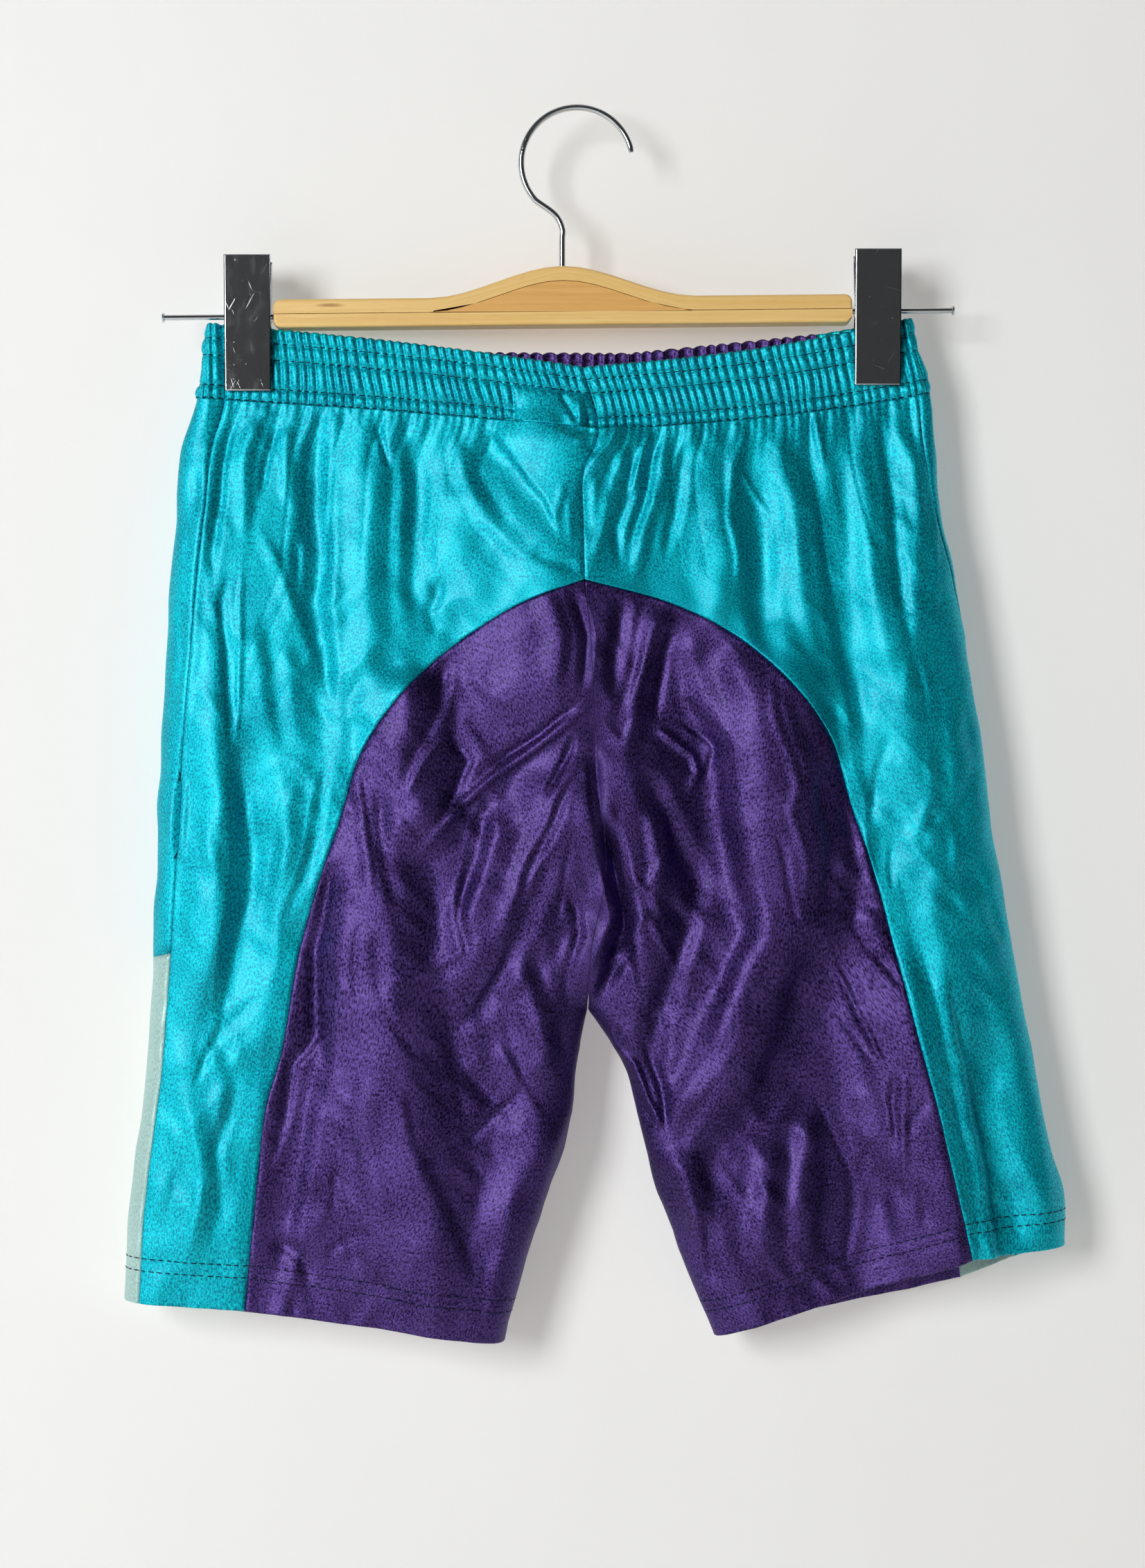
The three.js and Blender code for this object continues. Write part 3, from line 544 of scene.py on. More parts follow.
# Near, far, height and crisp of each crease in front, then X and Z of its points.
CREASES = (
    # Broad planes.
    (44, 44, 9.8, 1.7, 4, -126, 0, -165, -8, -205, -8, -250, -5, -284, -2, -304),
    (26, 23, 9, 1.8, -77, -256, -75, -290, -70, -320, -66, -348),
    (38, 25, 12, 1.8, -88, -322, -84, -370, -80, -420, -74, -455, -67, -490, -62, -530, -60, -590),
    (26, 26, 9.8, 1.8, 0, -296, -8, -336, -22, -366, -46, -396, -60, -414),
    (12, 12, 4.5, 1.6, -28, -318, -40, -350, -48, -386),
    (28, 9, 7.5, 1.6, 8, -308, 15, -342, 20, -370, 12, -394, 4, -418),
    (28, 6, 7.5, 1.5, 3, -455, -8, -478, -17, -510, -24, -545, -30, -590),
    (15, 9, 5.1, 1.5, -22, -390, -14, -420, -6, -455),
    (22, 10, -3.6, 1.6, -106, -340, -112, -380, -119, -440, -123, -470, -133, -520, -141, -570),
    (5, 10, 4.2, 1.6, 42, -228, 34, -262, 25, -296),
    (42, 32, 13.5, 1.8, 90, -236, 99, -290, 103, -335, 99, -372, 86, -408, 71, -444, 55, -486),
    (34, 13, -6.9, 1.7, 46, -236, 49, -275, 63, -297, 69, -340, 78, -378, 64, -412, 55, -448, 48, -478),
    (7, 44, 8.2, 1.7, 17, -292, 21, -325, 27, -352, 34, -385, 38, -420),
    (6, 8, 3.3, 1.5, 35, -322, 41, -346, 40, -368),
    (5, 8, -6.8, 1.4, 13, -322, 20, -350, 26, -375, 17, -398, 9, -414),
    (40, 22, -9, 1.8, 111, -376, 116, -430, 123, -470, 134, -500, 129, -570),
    (30, 12, 8.2, 1.7, 150, -386, 162, -440, 168, -480, 175, -520, 178, -570),
    (11, 10, 3.3, 1.4, 93, -474, 90, -505, 85, -535), (11, 8, 3.3, 1.4, 113, -460, 110, -500, 105, -540),
    (13, 10, 5.4, 1.5, 40, -480, 52, -487, 61, -518), (14, 9, -5.2, 1.5, 118, -262, 124, -310, 130, -350),
    (12, 11, -2.7, 1.4, -116, -136, -118, -190, -117, -250, -112, -315),
    (9, 18, -5.1, 1.6, -150, -292, -146, -345, -152, -385, -159, -425),
    (16, 11, 3.6, 1.5, -163, -240, -160, -320, -163, -380, -173, -425),
    (10, 9, -1.8, 1.4, -67, -150, -68, -200, -64, -248), (16, 18, 2.7, 1.4, -45, -168, -50, -205, -40, -240),
    (12, 10, -2.7, 1.5, 88, -165, 87, -210, 91, -250), (14, 12, 2.4, 1.4, 66, -175, 70, -210, 66, -240),
    (12, 11, -2.7, 1.5, 126, -150, 127, -220, 134, -300, 146, -360),
    (15, 14, 3.3, 1.5, 150, -215, 157, -290, 168, -370, 180, -440),
    (14, 12, -3, 1.4, 190, -410, 197, -470, 206, -530), (12, 10, 3, 1.4, -178, -445, -168, -490, -176, -535),
    (30, 5, 5.4, 1.5, 168, -400, 181, -460, 191, -520, 197, -575),
    # Left hip, front.
    (3.5, 4, -1.7, 1.6, -155, -141, -160, -169.5, -163, -193.5, -163.5, -206.5, -162, -222),
    (2.5, 5, -1.7, 1.6, -157, -216.5, -159.5, -228, -158, -246.5, -156, -272.5, -154, -300.5),
    (2, 2.5, 0.8, 1.6, -151, -210.5, -150.5, -244, -151.5, -272.5, -152, -295.5),
    (6, 5, 1.5, 1.6, -142.5, -140, -147, -154, -149, -173, -150.5, -202),
    (3, 3, -1.4, 1.6, -134, -145, -139, -164.5, -142, -179.5), (5, 5, 1.3, 1.6, -130, -145, -129, -170, -131, -184.5),
    (7, 3, 1, 1.6, -143, -193.5, -134.5, -208.5, -125, -232, -118, -254, -108, -282, -103.5, -291.5),
    (7.5, 8, -2.2, 1.6, -114, -138, -116, -160.5, -117, -189, -116, -216.5, -114, -253, -108.5, -288.5),
    (3, 3, -0.8, 1.6, -126.5, -197.5, -124.5, -221),
    (12, 11, 2.1, 1.6, -95.5, -141, -93.5, -166.5, -93, -197.5, -93, -225.5, -91.5, -254, -95.5, -288.5),
    (2.5, 3, -1.4, 1.6, -88.5, -144, -82, -166.5),
    (6.5, 7, -2, 1.6, -74.5, -145, -70.5, -169.5, -71.5, -197.5, -72.5, -221, -70.5, -244),
    (6, 8, -1.4, 1.6, -140, -232, -136, -262.5, -131, -295.5),
    (4, 4, -1.3, 1.6, -58.5, -216.5, -64.5, -231.5, -60.5, -245), (4, 4, -1.1, 1.6, -174, -167.5, -173, -188),
    (3, 3, -0.8, 1.6, -179.5, -188, -175.5, -200.5, -171, -208.5),
    (4, 4, -0.8, 1.6, -179.5, -224.5, -178, -256.5, -181.5, -282),
    (5, 5, 1, 1.6, -167.5, -157, -170.5, -208.5, -174, -256.5, -176.5, -301),
    (3, 4, -1.3, 1.6, -139.5, -409.5, -159.5, -424.5, -172.5, -449.5),
    (6, 6, 1.1, 1.6, -167.5, -326.5, -158, -362, -161.5, -397),
    (5, 7, -1.4, 1.6, -150.5, -310.5, -144.5, -346, -150.5, -374.5),
    (6, 6, 1.3, 1.6, -126, -307.5, -127.5, -336.5, -135.5, -365),
    (4, 5, -1.3, 1.6, -113, -304.5, -118, -342.5, -129.5, -374.5),
    (6, 6, 1, 1.6, -167.5, -429, -158, -448.5, -167.5, -480.5),
    (5, 5, -1, 1.6, -179.5, -461, -170.5, -486.5, -177, -522),
    (5, 5, -0.8, 1.6, -153, -448.5, -161, -477, -158, -512.5),
    # Centre front.
    (14, 3, -2.9, 1.6, -40.5, -147.5, -27.5, -163, -18, -174, -12, -181, -8, -192, -6, -198),
    (7, 7, 1.9, 1.6, -54, -150.5, -49.5, -168.5, -38.5, -186.5, -27.5, -199.5, -16.5, -211),
    (12, 14, 1.8, 1.6, -39.5, -154, -20, -151.5, 8.5, -158.5), (5, 5, -1.3, 1.6, -7.5, -145, 12.5, -152),
    (2.5, 2.5, -1.2, 1.6, -5.5, -131, 3.5, -146), (3.5, 3, 1.2, 1.6, 2, -134, 8.5, -144.5),
    (2.5, 2, 1.3, 1.5, 1.5, -155, 14.5, -152), (2.5, 2.5, -1.4, 1.6, 11, -156, 12.5, -163),
    (3, 3, 1, 1.6, -2, -173, -5, -184.5, -7, -191.5), (3, 3, 0.9, 1.6, 1, -179, 0, -200.5),
    (4, 5, -1.4, 1.6, -18, -205, -4, -210, 5, -213.5), (2, 7, 2.4, 1.4, 25, -140, 19, -156.5, 8.5, -168),
    (5, 5, 1.9, 1.6, 27, -157, 23.5, -168.5, 19, -180, 16, -196, 9.5, -212),
    (5, 4, -1.9, 1.6, 8.5, -170, 8.5, -198.5), (2.5, 3, 1.6, 1.6, 38, -148, 34.5, -161, 29, -176.5, 26, -184.5),
    (4, 4, -2.1, 1.6, 30.5, -155.5, 27.5, -180, 22, -196, 23.5, -212),
    (3.5, 3.5, -1.9, 1.6, 41, -152.5, 34.5, -180, 27, -203.5),
    (4.5, 5, 1.8, 1.6, 45, -150, 43, -170, 34.5, -192, 29, -219),
    (4, 5, -1.6, 1.6, 55, -154, 48.5, -179.5, 43, -207.5),
    # Right hip, front.
    (3, 6, 1.3, 1.6, 81, -150, 75, -164, 73.5, -189.5, 76, -210, 78, -230.5),
    (8, 8, -2, 1.6, 85, -150.5, 83, -173, 86.5, -205, 88.5, -240.5, 95.5, -261),
    (2, 2.5, 0.8, 1.6, 79, -166, 85.5, -180, 91, -193.5),
    (8, 8, 2.1, 1.6, 98.5, -142.5, 97.5, -159, 101.5, -189.5, 105.5, -220, 114, -258),
    (7, 8, -2, 1.6, 110, -143.5, 111.5, -169, 118, -199.5, 122, -230.5, 127.5, -256.5, 133.5, -294.5),
    (1.6, 1.6, -0.6, 1.6, 111, -173, 117, -202, 121.5, -230.5, 126, -266, 133.5, -314),
    (3, 3, 1.1, 1.6, 113.5, -142, 116, -166.5),
    (10, 10, 2, 1.6, 137.5, -140, 130, -159, 134, -189.5, 138, -220, 146, -255.5, 153.5, -291.5),
    (4.5, 4.5, -1.8, 1.6, 143, -142.5, 146, -169, 147.5, -194.5, 151.5, -225.5, 157, -252),
    (7, 7, 1.4, 1.6, 145.5, -138, 158, -164, 158.5, -199.5, 159.5, -230.5, 165, -261),
    (5, 3, 0.8, 1.6, 167.5, -159, 167.5, -230.5, 167.5, -255.5, 176, -288.5),
    (3, 3, 0.8, 1.6, 156.5, -254, 150.5, -273.5), (3, 3, -1, 1.6, 159.5, -255.5, 162.5, -282),
    (3, 2, -1.1, 1.5, 147, -288.5, 140.5, -310.5, 135.5, -334.5),
    (5, 5, 1, 1.6, 164, -288.5, 165.5, -317, 152.5, -342.5),
    (5, 5, -1, 1.6, 181.5, -272.5, 184.5, -304.5, 175.5, -333), (2.5, 2.5, -0.8, 1.6, 148.5, -338, 147, -359.5),
    (3, 3, -0.8, 1.6, 167.5, -322, 159, -338), (5, 5, 1, 1.6, 175.5, -325, 175.5, -350, 182.5, -374.5),
    (5, 5, -1.1, 1.6, 184, -350, 194, -375, 202, -398.5), (4, 4, -0.9, 1.6, 181, -418, 175, -435.5),
    (10, 9, -1.4, 1.6, 186, -429, 190.5, -466, 198.5, -502.5), (8, 8, 1, 1.6, 214, -448.5, 218.5, -490.5, 217, -522),
    (4, 4, 0.8, 1.6, 166, -441, 174, -466, 184, -507), (7, 6, 0.8, 1.6, 162, -362, 168.5, -397, 167, -422.5),
    # Left leg, front.
    (9, 5, 2.8, 1.6, -12, -222.5, -5.5, -244.5, -7.5, -266.5), (5, 5, -3, 1.6, -0.5, -221, 7, -245, 5, -269),
    (5, 5, -2.5, 1.6, -55, -252, -61.5, -278, -76, -313), (4, 4, -2.2, 1.6, -55, -286.5, -46, -299.5, -60.5, -331.5),
    (3, 3, 1.8, 1.6, -54, -285, -65, -301, -76, -317),
    (4, 3, 2.8, 1.3, 8, -277, -14, -292, -35, -307.5, -55.5, -327.5, -71.5, -346),
    (3, 3, -2, 1.6, 6, -271.5, -17, -289, -39.5, -303.5), (3, 3, -2, 1.6, 1.5, -288.5, -12, -317),
    (3.5, 5, -3.5, 1.6, 1, -307, -6.5, -327.5, -19.5, -355, -30.5, -384.5),
    (6, 6, -2.5, 1.6, -36, -317.5, -44, -343.5, -49.5, -376.5), (2.5, 2.5, -1.1, 1.6, 2.5, -336, -6.5, -374.5),
    (2.5, 2.5, -1.1, 1.6, -80.5, -318.5, -65, -338), (6, 2.5, 2, 1.3, -98, -303, -92.5, -333, -88, -366),
    (4, 7, -2.2, 1.6, -88, -310.5, -84, -346, -78, -374.5),
    (6, 2, 2, 1.6, 6, -301, 11, -343.5, 18, -373.5, 13.5, -384.5),
    (5, 4, -2.9, 1.6, -108, -341, -116, -387.5, -117.5, -426, -126.5, -438.5, -131, -465, -139, -490),
    (1.8, 2, -1.2, 1.4, -95.5, -372, -97.5, -395, -96.5, -417), (5, 5, -1.6, 1.6, -88, -379.5, -85, -410),
    (2, 2.5, -1.6, 1.4, -86.5, -409, -72.5, -429, -69, -436),
    (3, 5, -2.2, 1.6, -47.5, -346, -49.5, -372, -46.5, -396),
    (4, 9, -3.8, 1.6, -6, -341, -20, -367.5, -30.5, -395, -43, -414, -56, -421),
    (8, 5, -2.2, 1.6, -55.5, -420, -46, -441.5, -32.5, -458.5),
    (4, 2, -1.6, 1.4, -70.5, -484, -46, -472.5, -26, -455.5, -20, -447),
    (4, 12, -3.2, 1.6, -74, -448.5, -69.5, -474, -58.5, -493, -49.5, -517, -42.5, -541),
    (6, 4, 1.6, 1.6, -33, -429, -20, -454.5, -10.5, -467.5), (7, 7, 1.9, 1.6, -12, -372, -7.5, -410.5, -12, -443.5),
    (4, 4, -2, 1.6, -1, -355.5, 5, -378, -3.5, -410), (2, 2, -1.1, 1.3, -112.5, -462, -100, -472.5, -99, -488),
    (2, 2, -1.1, 1.3, -131, -507, -117, -495), (2, 2.5, -1.4, 1.3, -112.5, -525.5, -88, -513),
    (2, 2, -1.1, 1.3, -108, -488, -106, -505.5), (5, 5, -1.8, 1.6, -139, -519, -123.5, -527, -118, -541),
    (9, 9, 1.9, 1.6, -90.5, -442, -94, -474, -84, -512.5), (4, 4, -1.2, 1.6, -88.5, -534.5, -84, -547.5),
    (4, 4, -1.2, 1.6, -126.5, -544.5, -126, -555.5), (7, 7, 1.6, 1.6, -26, -493, -28, -518.5, -34, -547.5),
    (4, 4, 1.5, 1.6, -84, -403.5, -58.5, -390.5, -42.5, -384.5),
    # Right leg, front.
    (6, 6, -3.2, 1.6, 24, -223.5, 22.5, -247, 18, -272.5), (5, 5, 3, 1.6, 37, -227.5, 32.5, -259, 22, -286.5),
    (3, 3, -2.5, 1.6, 47.5, -238.5, 43, -253, 39.5, -285),
    (2.5, 2.5, -2.2, 1.3, 49, -282.5, 61, -289.5, 66.5, -294, 61, -310),
    (3, 3, 2.5, 1.6, 39.5, -287.5, 56, -299, 58, -306, 52, -317),
    (9, 9, -3.8, 1.6, 31, -304.5, 42, -326.5, 56.5, -349, 59, -373),
    (14, 12, 3.8, 1.6, 72.5, -245, 84, -272.5, 88.5, -307.5, 87, -362),
    (4, 3, 1.8, 1.3, 91.5, -256.5, 94, -282.5, 103.5, -312, 101, -324, 107, -347.5, 104.5, -376),
    (6, 9, -3.2, 1.6, 101.5, -269, 112.5, -304.5, 117.5, -339.5, 114, -378),
    (2.5, 2.5, -1.5, 1.3, 93, -332, 103.5, -378), (4, 4, 1.6, 1.6, 134, -337, 141, -368.5),
    (3, 3, 1.6, 1.6, 42, -328.5, 44, -342, 32.5, -360.5), (3, 3, 1.6, 1.6, 36, -370, 49, -397),
    (4, 6, -4.2, 1.6, 14.5, -327.5, 18, -355, 23.5, -368.5, 18, -384.5, 10, -400.5),
    (3, 3, 2, 1.6, 26.5, -353.5, 38, -360.5, 41.5, -371),
    (5, 3, 2.8, 1.6, 37.5, -367.5, 31, -375.5, 25.5, -387, 14.5, -398),
    (9, 8, -3.8, 1.6, 42.5, -356.5, 54, -378, 46.5, -399.5, 38, -418.5, 37, -442, 44.5, -461),
    (3, 2.5, 3.8, 1.3, 18, -422, 21, -433.5, 29.5, -440.5, 34, -456.5, 39, -465, 34, -481),
    (3, 4, -2.5, 1.6, 32.5, -429, 40, -448.5, 44.5, -474),
    (10, 9, 3.8, 1.6, 92, -365, 80.5, -397, 67, -421.5, 50, -462, 40.5, -478.5),
    (1.8, 1.8, 1.2, 1.4, 80.5, -397, 78, -421.5, 70, -434.5, 57, -456.5, 53.5, -470.5),
    (13, 15, -4.5, 1.6, 104.5, -390.5, 100.5, -421.5, 89, -450.5, 68.5, -475.5, 60.5, -499.5),
    (8, 8, 1.9, 1.6, 129.5, -448.5, 136.5, -482), (3, 2, -1.8, 1.3, 113, -454.5, 128, -486.5, 131, -495.5),
    (2.5, 2.5, -1.4, 1.3, 139, -472.5, 133.5, -492.5),
    (2.5, 2.5, 2.2, 1.3, 118.5, -390, 129.5, -412.5, 138.5, -430, 146.5, -443),
    (2.5, 2.5, 1.6, 1.3, 122, -416.5, 131, -429, 139, -440.5),
    (2, 2.5, -2, 1.3, 148.5, -441.5, 145.5, -457.5, 149, -477),
    (3, 3, 1.8, 1.6, 152.5, -441, 151, -462.5, 153.5, -490), (3, 3, -1.6, 1.6, 162.5, -453, 152.5, -470.5),
    (2.5, 2.5, -1.6, 1.3, 137.5, -389, 152.5, -405.5), (7, 7, 1.8, 1.6, 135.5, -368, 144, -392.5),
    (3.5, 4, -2.8, 1.6, 130, -490, 128, -516, 126, -533), (7, 7, 2, 1.6, 89, -491.5, 89, -517),
    (9, 8, 2.5, 1.6, 110.5, -462.5, 104, -493, 101.5, -512.5), (6, 5, 1.9, 1.6, 46.5, -479.5, 57, -508.5, 62, -531.5),
    (4, 6, -2, 1.6, 61.5, -507.5, 65, -541), (5, 5, -1.5, 1.6, 159, -490, 162, -512.5),
    (6, 6, 1.6, 1.6, 147, -493, 149.5, -518.5),
)


@dataclass(frozen=True)
class Creases:
    """All the creases of the cloth, and the fine rumple between them.

    Attributes:
        back_middle: Line that the creases of the back are mirrored about.
        stray: How far they then stray across and up.
        most: Height that the relief never passes.
        least: Depth that it never passes.
        wander: Waves that bend the creases across and up: size, width, height and seed.
        folds: Tall, lesser and broad folds: lean and width, height and seed.
        ridge: Level that the crumples are folded about.
        crumples: Lean and size across, skew and size up, seed, and strength above and below.
        calm: Heights where the upper strength starts to give way, and in how much it does.
    """

    back_middle: float = 12.0
    stray: tuple = (7, 11)
    most: float = 14.5
    least: float = -8.0
    wander: tuple = ((1.6, 19, 23, 3), (2.0, 21, 27, 4))
    folds: tuple = ((0, 13, 46, 11), (0.3, 7, 26, 12), (0, 30, 52, 13))
    ridge: float = 0.6
    crumples: tuple = (
        (0.45, 30, 0.4, 40, 14, 0.6, 1.5),
        (-0.7, 24, -0.5, 34, 17, 0.4, 1.3),
        (0.9, 13, 0.7, 20, 18, 0.4, 1.1),
    )
    calm: tuple = (-170, 120)

    @cached_property
    def front(self) -> tuple:
        """Creases of the front."""
        return tuple(Crease(tuple(zip(row[4::2], row[5::2])), *row[:4]) for row in CREASES)

    @cached_property
    def back(self) -> tuple:
        """Creases of the back, like those of the front and in other places."""
        across, up = self.stray
        return tuple(
            crease.turned(
                self.back_middle,
                (across * math.sin(2.3 * index), up * math.cos(1.7 * index)),
                0.8 + 0.2 * math.sin(index),
            )
            for index, crease in enumerate(self.front)
        )

    def height(self, face: Array, x: Array, z: Array) -> Array:
        """Height of all the relief at places in plan."""
        u, v = (
            axis + size * noise(x / wide, z / tall, seed)
            for axis, (size, wide, tall, seed) in zip((x, z), self.wander)
        )
        total = np.zeros(x.shape)
        for side, creases in ((Face.FRONT, self.front), (Face.BACK, self.back)):
            here = face == side.value
            if here.any():
                total = np.where(here, sum(crease.lift(u, v) for crease in creases), total)
        total += self.rumple(x, z, face)
        limit = np.where(total > 0, self.most, self.least)
        return limit * np.tanh(total / limit)

    def rumple(self, x: Array, z: Array, face: Array) -> Array:
        """Low wandering folds and planes between the creases."""
        shift = 40.0 * (face > 0)
        bent = x + 9 * noise(x / 60 + shift, z / 70, 16)
        lower = smooth((self.calm[0] - z) / self.calm[1])
        tall, lesser, broad = (
            noise((bent - lean * z) / wide + shift, z / high, seed) for lean, wide, high, seed in self.folds
        )
        fine = noise(x / 4.5 + shift, z / 8, 15)
        crumple = 0.0
        for lean, wide, skew, high, seed, above, below in self.crumples:
            fold = noise((x + lean * z) / wide + shift, (z - skew * x) / high, seed)
            crumple += mix(above, below, lower) * (self.ridge - np.abs(fold))
        return mix(0.4, 0.3, lower) * (tall + 0.5 * lesser) + 0.9 * broad + crumple + 0.07 * fine


# ---- meshes


def cloth_mesh(name: str, wall: Wall) -> Mesh:
    """Smooth quad sheet through the points of a wall, with its flat cut as the UV map.

    Args:
        name: Name of the mesh.
        wall: The grid of points.

    Returns:
        The mesh, with its faces pointing out of the cloth.
    """
    rows, columns = wall.point.shape[:2]
    bm = bmesh.new()
    bmesh.ops.create_grid(bm, x_segments=columns - 1, y_segments=rows - 1, size=1.0)
    mesh = mesh_from(bm, name)
    flat = np.empty(3 * len(mesh.vertices))
    mesh.vertices.foreach_get("co", flat)
    place = flat.reshape(-1, 3)
    column = np.rint((place[:, 0] + 1) / 2 * (columns - 1)).astype(int)
    row = np.rint((place[:, 1] + 1) / 2 * (rows - 1)).astype(int)
    mesh.vertices.foreach_set("co", (MM * wall.point[row, column]).ravel())
    mesh.update()
    corners = np.empty(len(mesh.loops), dtype=np.int32)
    mesh.loops.foreach_get("vertex_index", corners)
    layer = mesh.uv_layers.new(name="cut")
    layer.data.foreach_set("uv", wall.cut[row, column][corners].ravel())
    normals = np.empty(3 * len(mesh.polygons))
    mesh.polygons.foreach_get("normal", normals)
    first = np.empty(len(mesh.polygons), dtype=np.int32)
    mesh.polygons.foreach_get("loop_start", first)
    inward = wall.inward[row, column][corners[first]]
    if np.sum(normals.reshape(-1, 3) * inward) > 0:
        mesh.flip_normals()
    return mesh


def mesh_from(bm: BMesh, name: str) -> Mesh:
    """Smooth mesh of a finished bmesh, which is freed."""
    mesh = bpy.data.meshes.new(name)
    bm.to_mesh(mesh)
    bm.free()
    mesh.shade_smooth()
    return mesh


def new_object(name: str, data: bpy.types.ID) -> Piece:
    """Object for a mesh, curve, light or camera, in the scene."""
    made = bpy.data.objects.new(name, data)
    bpy.context.scene.collection.objects.link(made)
    return made


def place_piece(name: str, mesh: Mesh, finish: "Finish", node: str = "") -> Piece:
    """Object for a finished mesh, dressed and riding on the frame's one body.

    Args:
        name: Name of the piece.
        mesh: Its mesh.
        finish: Its finish.
        node: Node of the frame that it stands for, if any.

    Returns:
        The piece.
    """
    piece = new_object(name, mesh)
    mesh.materials.append(finish.material)
    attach(piece, "root")
    if node:
        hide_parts(node)
    LOG.info("%s: %d faces", name, len(mesh.polygons))
    return piece


def thicken(piece: Piece, thickness: float) -> None:
    """Gives a sheet its wall, on the inner side."""
    solid = piece.modifiers.new("cloth", "SOLIDIFY")
    solid.thickness = thickness * MM
    solid.offset = -1.0


def steps(count: int) -> Array:
    """Row of fractions from 0 to 1, close together beside the seams."""
    edge = np.array(SEAM_STEPS) / PANEL_WIDTH
    middle = np.linspace(edge[-1], 1 - edge[-1], count)
    return np.concatenate([[0.0], edge[:-1], middle, (1 - edge[:-1])[::-1], [1.0]])[None, :]


def gathers(part: Array, pleats: int, seed: int) -> Array:
    """Upright pleats across a gathered edge, 0 in the valleys and 1 on the tops."""
    wander = 0.9 * noise(part * pleats / 2.7, 0 * part, seed) + 0.35 * noise(part * pleats, 0 * part, seed + 1)
    return np.abs(np.sin(math.pi * (part * pleats + 0.32 * wander))) ** 0.75


# ---- the shorts


@dataclass
class Knitwear:
    """Shared facts of the cloth pieces.

    Attributes:
        tube: Depth of the waist and legs.
        creases: Relief of the cloth.
        pleats: Pleats of the front, side and back of the casing, for each half.
        plain: Stretch of the front waist that isn't gathered, from and to.
    """

    tube: Tube = field(default_factory=Tube)
    creases: Creases = field(default_factory=Creases)
    pleats: tuple = ((40, 27, 15), (36, 11, 15))
    plain: tuple = (-29.0, 9.0)


@dataclass(frozen=True)
class Pattern:
    """Cut piece of a half. What differs between the halves is a pair, left and right.

    Attributes:
        name: Its name, before the half's.
        ring: Whether it lies beside the outer edge, or beside the centre and the inner leg.
        face: Front or back.
        top: Section where it starts.
        bottom: Section where it ends.
        dense: Its rows, as a part of the usual ones.
        columns: Columns between those beside its seams.
        flats: Width and length in millimetres, and the part of that rectangle that it fills.
        hangs: Part of the casing above it.
        slit: Which of its edges has the pocket's mouth, 0 or 1, or -1 for none.
    """

    name: str
    ring: bool
    face: Face
    top: float
    bottom: float
    dense: float
    columns: tuple
    flats: tuple
    hangs: Part
    slit: tuple = (-1, -1)


